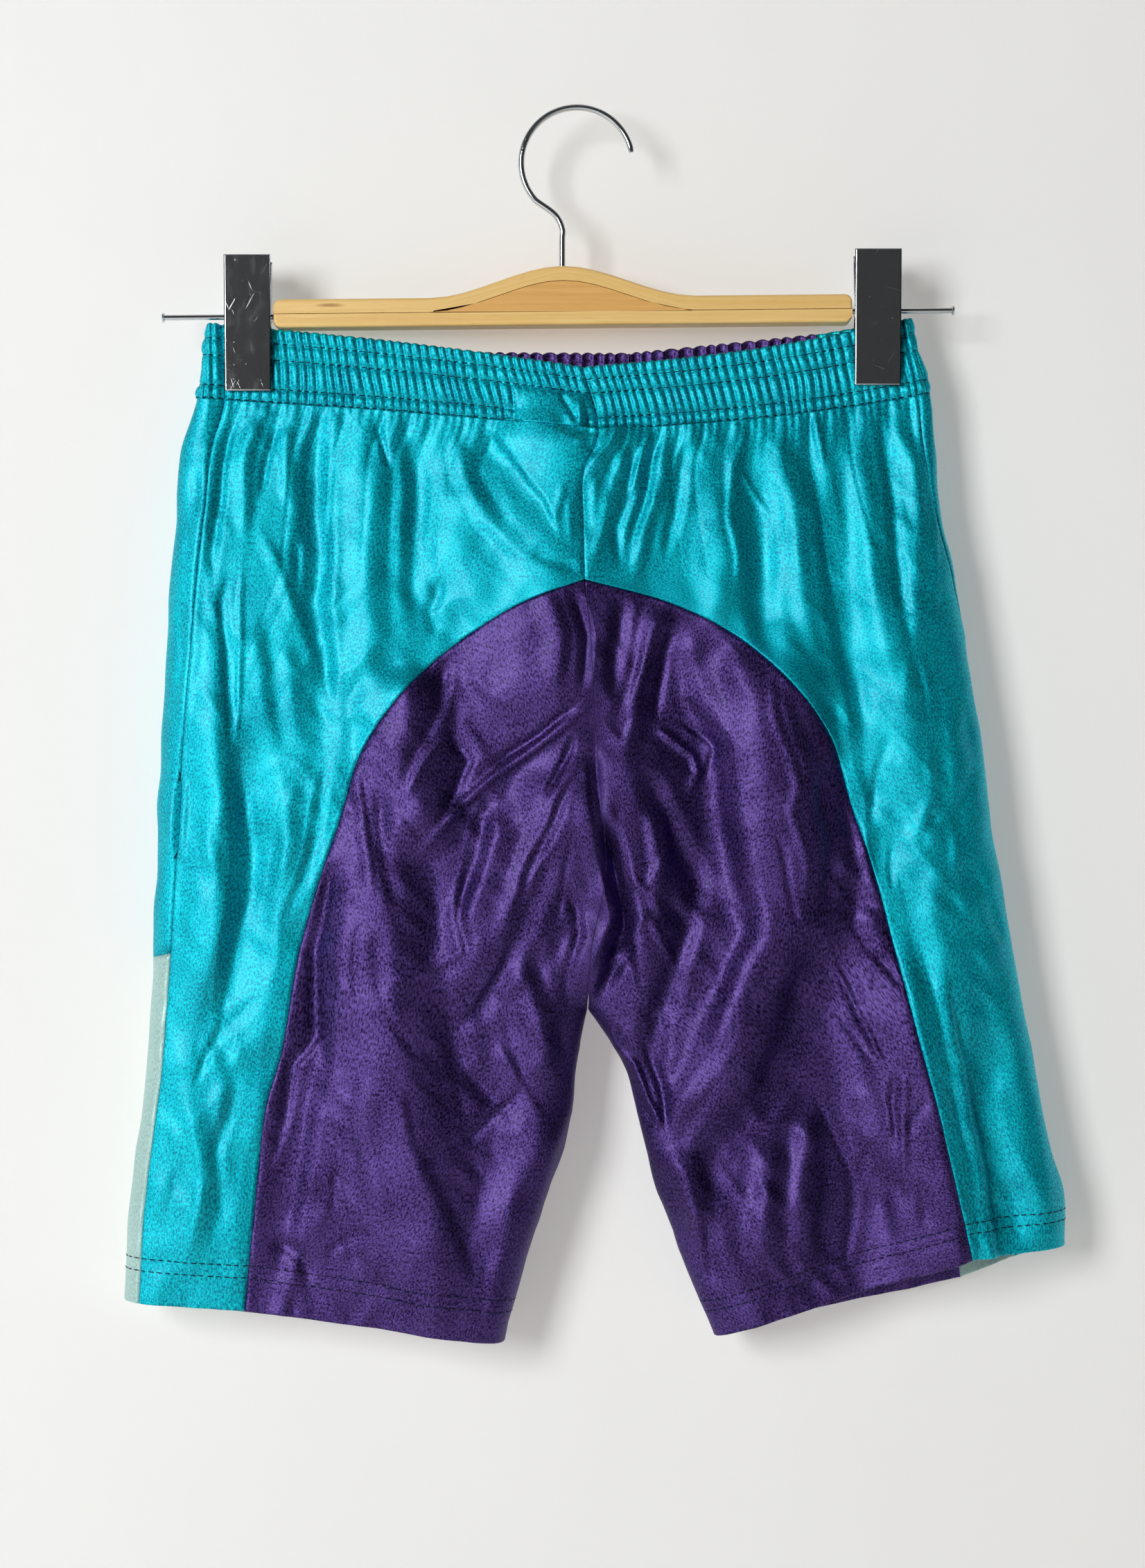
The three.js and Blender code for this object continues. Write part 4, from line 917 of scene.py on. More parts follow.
@dataclass
class Panels(Knitwear):
    """The ten cut pieces below the waist casing.

    Attributes:
        wall: Thickness of the cloth.
        rows: Rows of a full-length panel.
        finest: Sections between the first rows below the casing.
        crowd: How much closer together the rows are there.
        turn_up: Height of the hem's inner layer.
        hem_radius: Radius of the fold at the hem.
        fold: Angles of the rows round it, in degrees.
        stitches: Heights of the twin rows above each hem's edge.
        small: Height of the small folds below the casing, and the depth in which they fade.
        large: Pleats in a large fold, its least depth and what chance adds to that.
        large_height: Least height of a large fold and what chance adds to it.
        seam: Depth of a seam and the half width of its dip.
        slit: What the pocket's mouth adds to the depth, and its half width.
        lip: Height, place and half width of the swelling beside the mouth.
        pucker: Height, length and reach of the puckers beside a seam.
        stitch_dip: Depth and half width of the dip at a stitch row.
        ripple: Height of the ripple of a hem, and how far up it goes.
        pocket: Heights of the ends of the pocket's mouth.
        hems: Panels that end in a hem, with their halves, once they are made.
        sides: All the panels without their hems, once they are made.
    """

    wall: float = 0.75
    rows: int = 176
    finest: float = 0.025
    crowd: float = 1.6
    turn_up: float = 21.0
    hem_radius: float = 0.85
    fold: tuple = (20, 45, 70, 90, 110, 135, 160, 180)
    stitches: tuple = ((20.0, 14.4), (16.6, 11.8))
    small: tuple = (0.75, 8.0)
    large: tuple = (2.9, 12, 62)
    large_height: tuple = (0.8, 0.9)
    seam: tuple = (0.75, 1.7)
    slit: tuple = (1.3, 2.6)
    lip: tuple = (0.7, 4, 3)
    pucker: tuple = (0.28, 4.2, 5.0)
    stitch_dip: tuple = (0.4, 0.9)
    ripple: tuple = (0.25, 28)
    pocket: tuple = (-309.0, -345.0)
    hems: dict = field(default_factory=dict)
    sides: dict = field(default_factory=dict)

    def patterns(self) -> tuple:
        """The five pieces of a half, in the order that they are made in."""
        cut = self.tube.cut
        casing, mint, hem = cut.casing, cut.mint_top, cut.hem
        # The leg starts a hair below the arch's top, where it would have no width.
        arch = cut.arch_top + 0.03
        hip = ((189, 416, 0.51), (220, 394, 0.5))
        back_hip = ((146, 259, 0.79), (78, 270, 0.66))
        wedge = ((104, 159, 0.8), (40, 126, 0.93))
        leg = ((155, 350, 0.85), (159, 348, 0.83))
        seat = ((161, 428, 0.84), (170, 426, 0.79))
        return (
            Pattern("front_hip", True, Face.FRONT, casing, hem, 1.12, (172, 172), hip, Part.FRONT, (1, -1)),
            Pattern("back_hip", True, Face.BACK, casing, mint, 0.75, (84, 46), back_hip, Part.SIDE, (0, -1)),
            Pattern("back_side", True, Face.BACK, mint, hem, 1.0, (60, 44), wedge, Part.SIDE),
            Pattern("front_leg", False, Face.FRONT, arch, hem, 1.5, (110, 110), leg, Part.FRONT),
            Pattern("back_seat", False, Face.BACK, casing, hem, 0.75, (76, 76), seat, Part.BACK),
        )

    def sections(self, pattern: Pattern) -> Array:
        """Column of sections, closer together near the waist."""
        cut, length = self.tube.cut, pattern.bottom - pattern.top
        count = int(pattern.dense * self.rows * length / (cut.hem - cut.casing))
        part = np.linspace(0, 1, count)
        if pattern.top == cut.casing:
            steady = self.finest * count / length
            part = part * steady + (1 - steady) * part**self.crowd
        return (pattern.top + length * part)[:, None]

    def flounce(self, wall: Wall, part: Array, pleats: int, seed: int) -> Array:
        """Folds that hang from the gathered edge and die away below it.

        Args:
            wall: The panel.
            part: Fractions across it.
            pleats: Pleats of the casing above.
            seed: Pattern of the uneven ones.

        Returns:
            Height at each point.
        """
        below = wall.point[0, :, 2][None, :] - wall.point[..., 2]
        part = np.broadcast_to(part, below.shape)
        height, fade = self.small
        small = height * (gathers(part, pleats, seed) - 0.6) * np.exp(-below / fade)
        in_fold, shortest, longer = self.large
        row = part * pleats / in_fold
        row = row + 0.35 * noise(row / 1.9, 0 * row, seed + 5)
        index = np.floor(row)
        chance = np.sin(index * 91.7 + seed * 13.1) * 43758.5
        chance -= np.floor(chance)
        length = shortest + longer * chance**2
        least, more = self.large_height
        large = (np.sin(math.pi * (row - index)) ** 0.9 - 0.55) * (least + more * chance)
        large *= np.exp(-((below / length) ** 1.5)) * smooth(0.35 + below / 9)
        x = wall.point[..., 0]
        plain = band(x, *self.plain, 6, 5) * (wall.face < 0)
        return (small + large) * (1 - plain)

    def seams(self, wall: Wall, part: Array, slit: int) -> Array:
        """Dip and pucker along the two upright edges of a panel.

        Args:
            wall: The panel.
            part: Fractions across it.
            slit: Which edge has the pocket's mouth, 0 or 1, or -1 for none.

        Returns:
            Height at each point.
        """
        width = np.abs(wall.cut[:, -1, 0] - wall.cut[:, 0, 0])[:, None]
        near = np.minimum(part * width, (1 - part) * width)
        z = wall.point[..., 2]
        height, length, reach = self.pucker
        pucker = height * noise(z / length, near / 30, 21) * np.exp(-near / reach)
        mouth = band(z, self.pocket[1], self.pocket[0], 4, 4) * (np.abs(part - slit) < 0.5)
        (depth, narrow), (deeper, wide) = self.seam, self.slit
        dip = np.clip(1 - near / mix(narrow, wide, mouth), 0, 1) ** 1.7
        swell, place, half_width = self.lip
        lips = swell * mouth * smooth(1 - np.abs(near - place) / half_width)
        return pucker * smooth(near / 1.2) - (depth + deeper * mouth) * dip + lips

    def hemmed(self, wall: Wall, half: Half) -> Wall:
        """Panel with its hem turned up inside, and the dips of the twin stitch rows.

        Args:
            wall: Panel that ends at the hem's edge.
            half: Which half.

        Returns:
            The panel with the rows of the fold and the inner layer.
        """
        above = length_of(wall.point - wall.point[-1][None])
        depth, width = self.stitch_dip
        dips = sum(np.exp(-(((above - height) / width) ** 2)) for height in self.stitches[half.row])
        edge = 0.5 * np.exp(-(((above - self.turn_up) / 1.6) ** 2))
        size, reach = self.ripple
        ripple = size * noise(wall.cut[..., 0] / 6, above / 30, 31) * smooth(1 - above / reach)
        wall.raise_by(ripple - depth * dips - 0.2 * edge)
        down = unit(wall.point[-1] - wall.point[-3])
        radius = self.hem_radius
        last, inner = wall.point[-1] - down * radius, wall.inward[-1]
        angles = np.radians(self.fold)
        points = [last + down * radius * math.sin(a) + inner * radius * (1 - math.cos(a)) for a in angles]
        turned = [unit(inner * math.cos(a) - down * math.sin(a)) for a in angles]
        cuts = [wall.cut[-1] for _ in angles]
        middle = above.shape[1] // 2
        inside = [row for row in range(len(above) - 2, 0, -2) if above[row, middle] < self.turn_up]
        for row in inside:
            points.append(wall.point[row] + wall.inward[row] * 2 * radius)
            turned.append(-wall.inward[row])
            cuts.append(wall.cut[row])
        point = np.concatenate([wall.point[:-1], [last], points])
        inward = np.concatenate([wall.inward, turned])
        extra = len(point) - len(wall.point)

        def held(values: Array) -> Array:
            """Values with the last row repeated for the new rows."""
            return np.concatenate([values, np.repeat(values[-1:], extra, axis=0)])

        return Wall(point, inward, held(wall.closing), held(wall.face), np.concatenate([wall.cut, cuts]))

    def panel(self, half: Half, pattern: Pattern, finish: "Satin") -> None:
        """One panel, with its relief, seams and hem.

        Args:
            half: Which half.
            pattern: Its cut.
            finish: Its cloth.
        """
        cut = self.tube.cut
        name = f"{pattern.name}_{half.value}"
        section, part = self.sections(pattern), steps(pattern.columns[half.row])
        lay = self.tube.ring if pattern.ring else self.tube.span
        wall = lay(half, pattern.face, section, part)
        if pattern.top == cut.casing:
            pleats = self.pleats[half.row][pattern.hangs.place]
            wall.raise_by(self.flounce(wall, part, pleats, pattern.hangs.seed(half)))
        wall.raise_by(self.creases.height(wall.face, wall.point[..., 0], wall.point[..., 2]))
        edge = 0.9 * noise(wall.point[..., 2] / 16, 0 * wall.closing + half.out, 41)
        wall.swell_by(edge * (1 - wall.closing) ** 2)
        wall.swell_by(self.seams(wall, part, pattern.slit[half.row]))
        self.sides[name] = wall
        if pattern.bottom == cut.hem:
            rows = len(wall.point)
            whole = self.hemmed(replace(wall, point=wall.point.copy()), half)
            self.hems[name] = (half, replace(wall, point=whole.point[:rows]))
            wall = whole
        piece = place_piece(f"{name}_cloth", cloth_mesh(name, wall), finish, name)
        thicken(piece, self.wall)
        pattern.flats[half.row]

    def build(self, teal: "Satin", purple: "Satin", mint: "Satin") -> None:
        """Makes all ten panels."""
        for half in Half:
            for pattern, finish in zip(self.patterns(), (teal, teal, mint, purple, purple)):
                self.panel(half, pattern, finish)


@dataclass
class Casing(Knitwear):
    """Waist casing: cloth folded over wide elastic and sewn through in four rows.

    Attributes:
        cloth: Thickness of one layer.
        gap: Distance between the outer and inner layers.
        pleat: Height of a pleat.
        frill: How far the pleats stand up at the top edge, in front, at the side and behind.
        points_in_pleat: Columns to a pleat.
        stitch_rows: Heights of the stitch rows, as parts of the way from the top edge down.
        rows: Rows of the mesh, likewise.
        puffs: Heights, likewise, and how far the casing puffs out there.
        pinch: Half width of the dip at a stitch row, its depth, and how far it flattens the pleats.
        held: What the clips leave of the relief.
        fold: Angles of the rows of the top fold, in degrees.
        flats: Cut of the front, side and back of each half, as in Pattern.
    """

    cloth: float = 0.55
    gap: float = 1.9
    pleat: float = 1.5
    frill: tuple = (0.55, 0.55, 1.5)
    points_in_pleat: int = 8
    stitch_rows: tuple = (0.17, 0.39, 0.79, 0.985)
    rows: tuple = (
        0.0, 0.03, 0.07, 0.11, 0.14, 0.17, 0.2, 0.24, 0.29, 0.34, 0.37, 0.39, 0.41, 0.44, 0.49,
        0.54, 0.59, 0.64, 0.69, 0.74, 0.77, 0.79, 0.81, 0.85, 0.89, 0.93, 0.96, 0.985, 1.0,
    )
    puffs: tuple = ((0, 0.17, 0.3, 0.6, 0.9), (0.2, 0.3, 0.45, 0.75, 0.4))
    pinch: tuple = (0.035, 0.7, 0.45)
    held: float = 0.55
    fold: tuple = (35, 75, 105, 145)
    flats: tuple = (
        ((225, 70, 1), (163, 70, 1), (111, 61, 1)),
        ((189, 71, 1), (76, 71, 1), (109, 61, 1)),
    )

    def profile(self, down: Array) -> tuple[Array, Array]:
        """Puff of the casing and strength of its pleats at parts of its height."""
        width, depth, flatten = self.pinch
        pinch = sum(np.exp(-(((down - row) / width) ** 2)) for row in self.stitch_rows)
        between = np.interp(down, [0.0, *self.stitch_rows], range(len(self.stitch_rows) + 1))
        puff = np.abs(np.sin(math.pi * between)) * np.interp(down, *self.puffs)
        return puff - depth * pinch, 1 - flatten * np.clip(pinch, 0, 1)

    def bare(self, half: Half, part: Part, down: Array, across: Array) -> Wall:
        """Outer layer of one piece of the casing, before its pleats.

        Args:
            half: Which half.
            part: Front, side or back.
            down: Column of heights from the top edge, 0 to 1.
            across: Row of fractions across.

        Returns:
            The wall.
        """
        if part is not Part.BACK:
            return self.tube.ring(half, Face.FRONT if part is Part.FRONT else Face.BACK, down, across)
        start, end = self.tube.cut.back(down), self.tube.cut.back_seam(half, down)
        spot = start + (end - start) * across[..., None]
        shape = spot.shape[:2]
        way = np.broadcast_to(unit(end - start), (*shape, 2))
        run = half.out * across * length_of(end - start)
        uv = np.stack([run, np.broadcast_to(spot[..., :1, 1], shape)], axis=-1)
        sign, turn = np.full(shape, Face.BACK.value), np.full(shape, math.pi / 2)
        return self.tube.wall(spot[..., 0], spot[..., 1], sign, turn, way, uv)

    def layer(self, half: Half, part: Part, down: Array, across: Array) -> Wall:
        """Outer layer with its pleats, puffs and the loose stretch at the centre front.

        Args:
            half: Which half.
            part: Front, side or back.
            down: Column of heights from the top edge, 0 to 1.
            across: Row of fractions across.

        Returns:
            The wall.
        """
        wall = self.bare(half, part, down, across)
        count, seed = self.pleats[half.row][part.place], part.seed(half)
        lean = 0.25 * noise(across * count / 4 + 0 * down, down * 2.2, seed + 3) * smooth(down / 0.3)
        pleats = gathers(across + lean / count, count, seed)
        puff, strength = self.profile(down)
        x, z = wall.point[..., 0], wall.point[..., 2]
        loose = band(x, *self.plain, 8, 5) * (wall.face < 0) * smooth((down - 0.36) / 0.16)
        uneven = 1 + 0.3 * noise(x / 7, 3 * down, 51)
        height = puff + self.pleat * strength * uneven * (pleats - 0.62)
        clipped = sum(smooth((self.tube.clip_reach + 2 - np.abs(x - clip)) / 3) for clip in self.tube.clips)
        relief = self.creases.height(wall.face, x, z)
        height = mix(height * mix(1.0, self.held, clipped), relief + 0.4, loose)
        wall.raise_by(height + 0.12 * noise(x / 2.1, z / 3.5, 52))
        wall.swell_by((0.8 * height + 0.8 * np.sin(down * 9 + half.out)) * (1 - wall.closing) ** 2)
        edge = np.clip(1 - np.minimum(across, 1 - across) * count * 4.3 / 1.6, 0, 1)
        wall.swell_by(-0.9 * edge**1.6 + 0 * height)
        wall.point[..., 2] += self.frill[part.place] * (pleats - 0.6) * smooth(1 - down / 0.14)
        return wall

    def piece(self, half: Half, part: Part, finish: "Satin") -> None:
        """One piece of the casing: its outer layer, top fold and inner layer."""
        count = self.pleats[half.row][part.place] * self.points_in_pleat
        across = np.linspace(0, 1, count + 1)[None, :]
        outer = self.layer(half, part, np.array(self.rows[::-1])[:, None], across)
        half_depth = self.tube.half_depth(outer.point[..., 0], outer.point[..., 2])
        inner = outer.point + outer.inward * np.minimum(self.gap, half_depth - 1.0)[..., None]
        top, bottom = outer.point[-1], inner[-1]
        middle, reach = (top + bottom) / 2, (bottom - top) / 2
        rise = np.array([0.0, 0.0, 1.0])
        angles = np.radians(self.fold)
        fold = [middle - reach * math.cos(a) + rise * 0.9 * math.sin(a) for a in angles]
        turned = [unit(outer.inward[-1] * math.cos(a) - rise * math.sin(a)) for a in angles]
        inside = list(range(len(self.rows) - 2, -1, -2))
        point = np.concatenate([outer.point, fold, [bottom], inner[inside]])
        inward = np.concatenate([outer.inward, turned, [-outer.inward[-1]], -outer.inward[inside]])
        cut = np.concatenate([outer.cut, outer.cut[[-1] * (len(fold) + 1) + inside]])
        flat = np.ones(point.shape[:2])
        name = f"waist_{part.label}_{half.value}"
        mesh = cloth_mesh(name, Wall(point, inward, flat, flat, cut))
        piece = place_piece(f"{name}_cloth", mesh, finish, name)
        thicken(piece, self.cloth)
        self.flats[half.row][part.place]

    def build(self, teal: "Satin", purple: "Satin") -> None:
        """Makes the six pieces of the casing."""
        for half in Half:
            for part, finish in zip(Part, (teal, teal, purple)):
                self.piece(half, part, finish)


@dataclass
class Stitching:
    """Rows of straight stitches through the casing and hems.

    Attributes:
        length: Length of one stitch.
        pitch: From one stitch to the next.
        thread: Half width of the thread.
        bite: How far a stitch runs on into the cloth at each end.
        clear: How far it stands off the cloth at its middle.
        start: Where a row starts beside a seam.
        wobble: How far a stitch's start strays.
        loose: Stretch of X at the centre front that the two lower rows of the waist leave out.
        tacks: Stitches in a bar tack, and from one of them to the next.
    """

    length: float = 2.9
    pitch: float = 3.9
    thread: float = 0.27
    bite: float = 0.15
    clear: float = 0.12
    start: float = 0.6
    wobble: float = 0.35
    loose: tuple = (-31.0, 13.0)
    tacks: tuple = (5, 0.45)

    def row(self, bm: BMesh, line: Array, outward: Array, skip: tuple = (0, 0)) -> None:
        """Adds a row of stitches along a line.

        Args:
            bm: Mesh that takes them.
            line: Points of the line.
            outward: Directions out of the cloth at those points.
            skip: Stretch of X that has none.
        """
        run = np.concatenate([[0], np.cumsum(length_of(np.diff(line, axis=0)))])
        at = self.start
        while at + self.length < run[-1]:
            end = at + self.length
            first = sample(run, line, at + self.wobble * math.sin(at * 7.3))
            last = sample(run, line, end)
            out = unit(sample(run, outward, at + self.length / 2))
            middle = (first + last) / 2
            lift = max(float(np.dot(sample(run, line, spot) - middle, out)) for spot in np.linspace(at, end, 5))
            if not skip[0] < middle[0] < skip[1]:
                self.stitch(bm, first, last, middle + out * (0.5 * max(lift, 0) + self.clear), out)
            at += self.pitch

    def stitch(self, bm: BMesh, first: Array, last: Array, middle: Array, out: Array) -> None:
        """Adds one stitch between two points.

        Args:
            bm: Mesh that takes it.
            first: Where the thread comes up.
            last: Where it goes down.
            middle: Centre of the stitch.
            out: Direction out of the cloth.
        """
        way = Vector(last - first)
        length = max(way.length, 0.5)
        way.normalize()
        across = way.cross(Vector(out)).normalized()
        turn = Matrix((way, across, across.cross(way))).transposed().to_4x4()
        size = Matrix.Diagonal((length / 2 + self.bite, self.thread * 1.15, self.thread, 1))
        place = Matrix.Translation(Vector(middle) * MM) @ Matrix.Scale(MM, 4) @ turn @ size
        bmesh.ops.create_icosphere(bm, subdivisions=1, radius=1.0, matrix=place)

    def casing_rows(self, casing: Casing, thread: "Plain") -> None:
        """The four rows round the waist."""
        bm = bmesh.new()
        for half in Half:
            for part in Part:
                across = np.linspace(0, 1, casing.pleats[half.row][part.place] * 10 + 1)[None, :]
                for number, height in enumerate(casing.stitch_rows):
                    wall = casing.layer(half, part, np.array([[height]]), across)
                    skip = self.loose if part is Part.FRONT and number > 1 else (0, 0)
                    self.row(bm, wall.point[0], -wall.inward[0], skip)
        place_piece("waist_stitches", mesh_from(bm, "waist_stitches"), thread)

    def bar_tacks(self, bm: BMesh, panels: Panels) -> None:
        """Tight short stitches across the seam at both ends of the pocket's mouth."""
        edges = ((panels.sides["front_hip_left"], -3), (panels.sides["back_hip_left"], 2))
        count, pitch = self.tacks
        for height in panels.pocket:
            for step in range(count):
                ends, outs = [], []
                for wall, column in edges:
                    row = int(np.argmin(np.abs(wall.point[:, column, 2] - height - pitch * step)))
                    ends.append(wall.point[row, column])
                    outs.append(-wall.inward[row, column])
                out = unit(sum(outs))
                self.stitch(bm, *ends, sum(ends) / 2 + 0.25 * out, out)

    def hem_rows(self, panels: Panels, thread: "Plain") -> None:
        """The twin rows round both hems, and the bar tacks."""
        bm = bmesh.new()
        for half, wall in panels.hems.values():
            above = length_of(wall.point - wall.point[-1][None])[::-1]
            point, outward = wall.point[::-1], -wall.inward[::-1]
            columns = range(above.shape[1])
            for height in panels.stitches[half.row]:
                line = [sample(above[:, column], point[:, column], height) for column in columns]
                out = [sample(above[:, column], outward[:, column], height) for column in columns]
                self.row(bm, np.array(line), unit(np.array(out)))
        self.bar_tacks(bm, panels)
        place_piece("hem_stitches", mesh_from(bm, "hem_stitches"), thread)


# ---- finishes


class Recipe:
    """Short way to write the nodes of a material or of the surroundings."""

    def __init__(self, owner: Material | bpy.types.World) -> None:
        """Empties the nodes of their owner."""
        self.owner = owner
        owner.use_nodes = True
        self.tree = owner.node_tree
        self.tree.nodes.clear()

    def add(self, kind: str, settings: dict | None = None, **inputs: object) -> bpy.types.Node:
        """Adds a node.

        Args:
            kind: Type of the node, without its ShaderNode prefix.
            settings: Properties of the node.
            inputs: Values or sockets for its inputs, by name or as i0, i1 by place.

        Returns:
            The node.
        """
        node = self.tree.nodes.new("ShaderNode" + kind)
        for key, value in (settings or {}).items():
            setattr(node, key, value)
        for key, value in inputs.items():
            placed = key[0] == "i" and key[1:].isdigit()
            socket = node.inputs[int(key[1:])] if placed else node.inputs[key.replace("_", " ")]
            if isinstance(value, Socket):
                self.tree.links.new(value, socket)
            else:
                socket.default_value = value
        return node

    def noise(self, vector: Socket, size: tuple, detail: float = 2.0, rough: float = 0.5) -> Socket:
        """Noise with features of a given size along each axis.

        Args:
            vector: Coordinates.
            size: Size of a feature along X, Y and Z.
            detail: Octaves of finer noise.
            rough: How much each of them counts.

        Returns:
            The noise, from 0 to 1.
        """
        scale = tuple(1.0 / value for value in size)
        mapped = self.add("Mapping", Vector=vector, Scale=scale).outputs[0]
        return self.add("TexNoise", Vector=mapped, Scale=1.0, Detail=detail, Roughness=rough).outputs[0]

    def math(self, operation: str, first: object, second: object) -> Socket:
        """Result of an operation on two values."""
        return self.add("Math", {"operation": operation}, i0=first, i1=second).outputs[0]

    def span(self, value: Socket, low: float, high: float, to_low: float, to_high: float) -> Socket:
        """Value stretched from one range to another, held inside it.

        Args:
            value: The value.
            low: Start of its range.
            high: End of its range.
            to_low: What the start becomes.
            to_high: What the end becomes.

        Returns:
            The new value.
        """
        node = self.add("MapRange", Value=value, From_Min=low, From_Max=high, To_Min=to_low, To_Max=to_high)
        return node.outputs[0]

    def blend(self, part: Socket, first: object, second: tuple) -> Socket:
        """Colour a part of the way from the first, a colour or a socket, to the second."""
        first = (*first, 1) if isinstance(first, tuple) else first
        node = self.add("Mix", {"data_type": "RGBA"}, i0=part, i6=first, i7=(*second, 1))
        return node.outputs[2]

    def bump(self, height: Socket, strength: float, distance: float) -> Socket:
        """Normal of a surface raised by a height."""
        return self.add("Bump", Height=height, Strength=strength, Distance=distance).outputs[0]

    def surface(self, one_sided: bool = False, **inputs: object) -> Material:
        """Closes the material with its shader.

        Args:
            one_sided: Whether it can't be seen from behind.
            inputs: Values or sockets for the shader.

        Returns:
            The material.
        """
        shader = self.add("BsdfPrincipled", {"distribution": "GGX"}, **inputs).outputs[0]
        if one_sided:
            behind = self.add("NewGeometry").outputs["Backfacing"]
            clear = self.add("BsdfTransparent").outputs[0]
            shader = self.add("MixShader", i0=behind, i1=shader, i2=clear).outputs[0]
        self.add("OutputMaterial", i0=shader)
        return self.owner


@dataclass(frozen=True)
class Finish:
    """What every finish has.

    Attributes:
        name: Name of its material.
        slot: Slot of the frame that it would dress; not used.
    """

    name: str
    slot: str

    @cached_property
    def material(self) -> Material:
        """The finished material."""
        return self.nodes(Recipe(bpy.data.materials.new(self.name)))

    def nodes(self, recipe: Recipe) -> Material:
        """Writes the nodes of the material, and returns it."""
        raise NotImplementedError


@dataclass(frozen=True)
class Satin(Finish):
    """Shiny warp knit: fine upright filaments that glitter where the light strikes them.

    Attributes:
        shade: Colour between the filaments.
        glow: Colour of the filaments.
        metallic: How much of its light is mirrored in its own colour.
        rough: Its roughness.
        coat: Weight of the thin clear gloss on it.
    """

    shade: tuple
    glow: tuple
    metallic: float
    rough: float
    coat: float

    def nodes(self, recipe: Recipe) -> Material:
        """Writes the nodes of the material, and returns it."""
        cut = recipe.add("UVMap", {"uv_map": "cut"}).outputs[0]
        filament = recipe.noise(cut, (0.7, 1.7, 1.0), 2.0, 0.6)
        stitch = recipe.noise(cut, (1.0, 1.0, 1.0), 1.0, 0.5)
        cloud = recipe.noise(cut, (16.0, 30.0, 1.0), 2.0, 0.5)
        fleck = recipe.math("ADD", recipe.math("MULTIPLY", filament, 0.6), recipe.math("MULTIPLY", stitch, 0.4))
        part = recipe.math("ADD", recipe.math("MULTIPLY", fleck, 0.88), recipe.math("MULTIPLY", cloud, 0.12))
        colour = recipe.blend(recipe.span(part, 0.41, 0.59, 0.0, 1.0), self.shade, self.glow)
        rough = recipe.span(fleck, 0.3, 0.7, self.rough - 0.05, self.rough + 0.09)
        normal = recipe.bump(fleck, 0.7, 0.0003)
        return recipe.surface(
            Base_Color=colour,
            Metallic=self.metallic,
            Roughness=rough,
            Specular_IOR_Level=0.5,
            Coat_Weight=self.coat,
            Coat_Roughness=0.34,
            Normal=normal,
        )


@dataclass(frozen=True)
class Timber(Finish):
    """Oiled wood with its grain along the bar.

    Attributes:
        pale: Colour of the early wood.
        deep: Colour of the late wood.
        line: Colour of the pores and the knot.
        knot: Place of the knot on the grain.
        warp: How far the grain wanders.
        rough: Its roughness.
    """

    pale: tuple
    deep: tuple
    line: tuple
    knot: tuple = (-110.5, -93.2)
    warp: float = 5.0
    rough: float = 0.42

    def nodes(self, recipe: Recipe) -> Material:
        """Writes the nodes of the material, and returns it."""
        grain = recipe.add("UVMap", {"uv_map": "grain"}).outputs[0]
        warp = recipe.noise(grain, (70.0, 9.0, 1.0), 2.0)
        sway = (0.0, self.warp, 0.0)
        shifted = recipe.add("VectorMath", {"operation": "MULTIPLY_ADD"}, i0=warp, i1=sway, i2=grain).outputs[0]
        rings = recipe.noise(shifted, (160.0, 1.9, 1.0), 3.0, 0.55)
        pores = recipe.noise(shifted, (14.0, 0.35, 1.0), 2.0, 0.6)
        cloud = recipe.noise(grain, (38.0, 14.0, 1.0), 2.0)
        tone = recipe.span(rings, 0.34, 0.68, 0.0, 1.0)
        colour = recipe.blend(tone, self.pale, self.deep)
        colour = recipe.blend(recipe.span(pores, 0.6, 0.78, 0.0, 0.45), colour, self.line)
        colour = recipe.blend(recipe.span(cloud, 0.35, 0.75, 0.0, 0.35), colour, self.deep)
        knot = (self.knot[0], self.knot[1] + self.warp / 2, 0.0)
        offset = recipe.add("VectorMath", {"operation": "SUBTRACT"}, i0=shifted, i1=knot).outputs[0]
        flat = recipe.add("VectorMath", {"operation": "MULTIPLY"}, i0=offset, i1=(0.14, 0.85, 0.0)).outputs[0]
        away = recipe.add("VectorMath", {"operation": "LENGTH"}, i0=flat).outputs[1]
        colour = recipe.blend(recipe.span(away, 0.35, 1.1, 0.8, 0.0), colour, self.line)
        normal = recipe.bump(recipe.math("ADD", pores, rings), 0.25, 0.0002)
        rough = recipe.span(pores, 0.3, 0.7, self.rough - 0.06, self.rough + 0.1)
        return recipe.surface(
            Base_Color=colour,
            Roughness=rough,
            Specular_IOR_Level=0.5,
            Coat_Weight=0.15,
            Coat_Roughness=0.3,
            Normal=normal,
        )


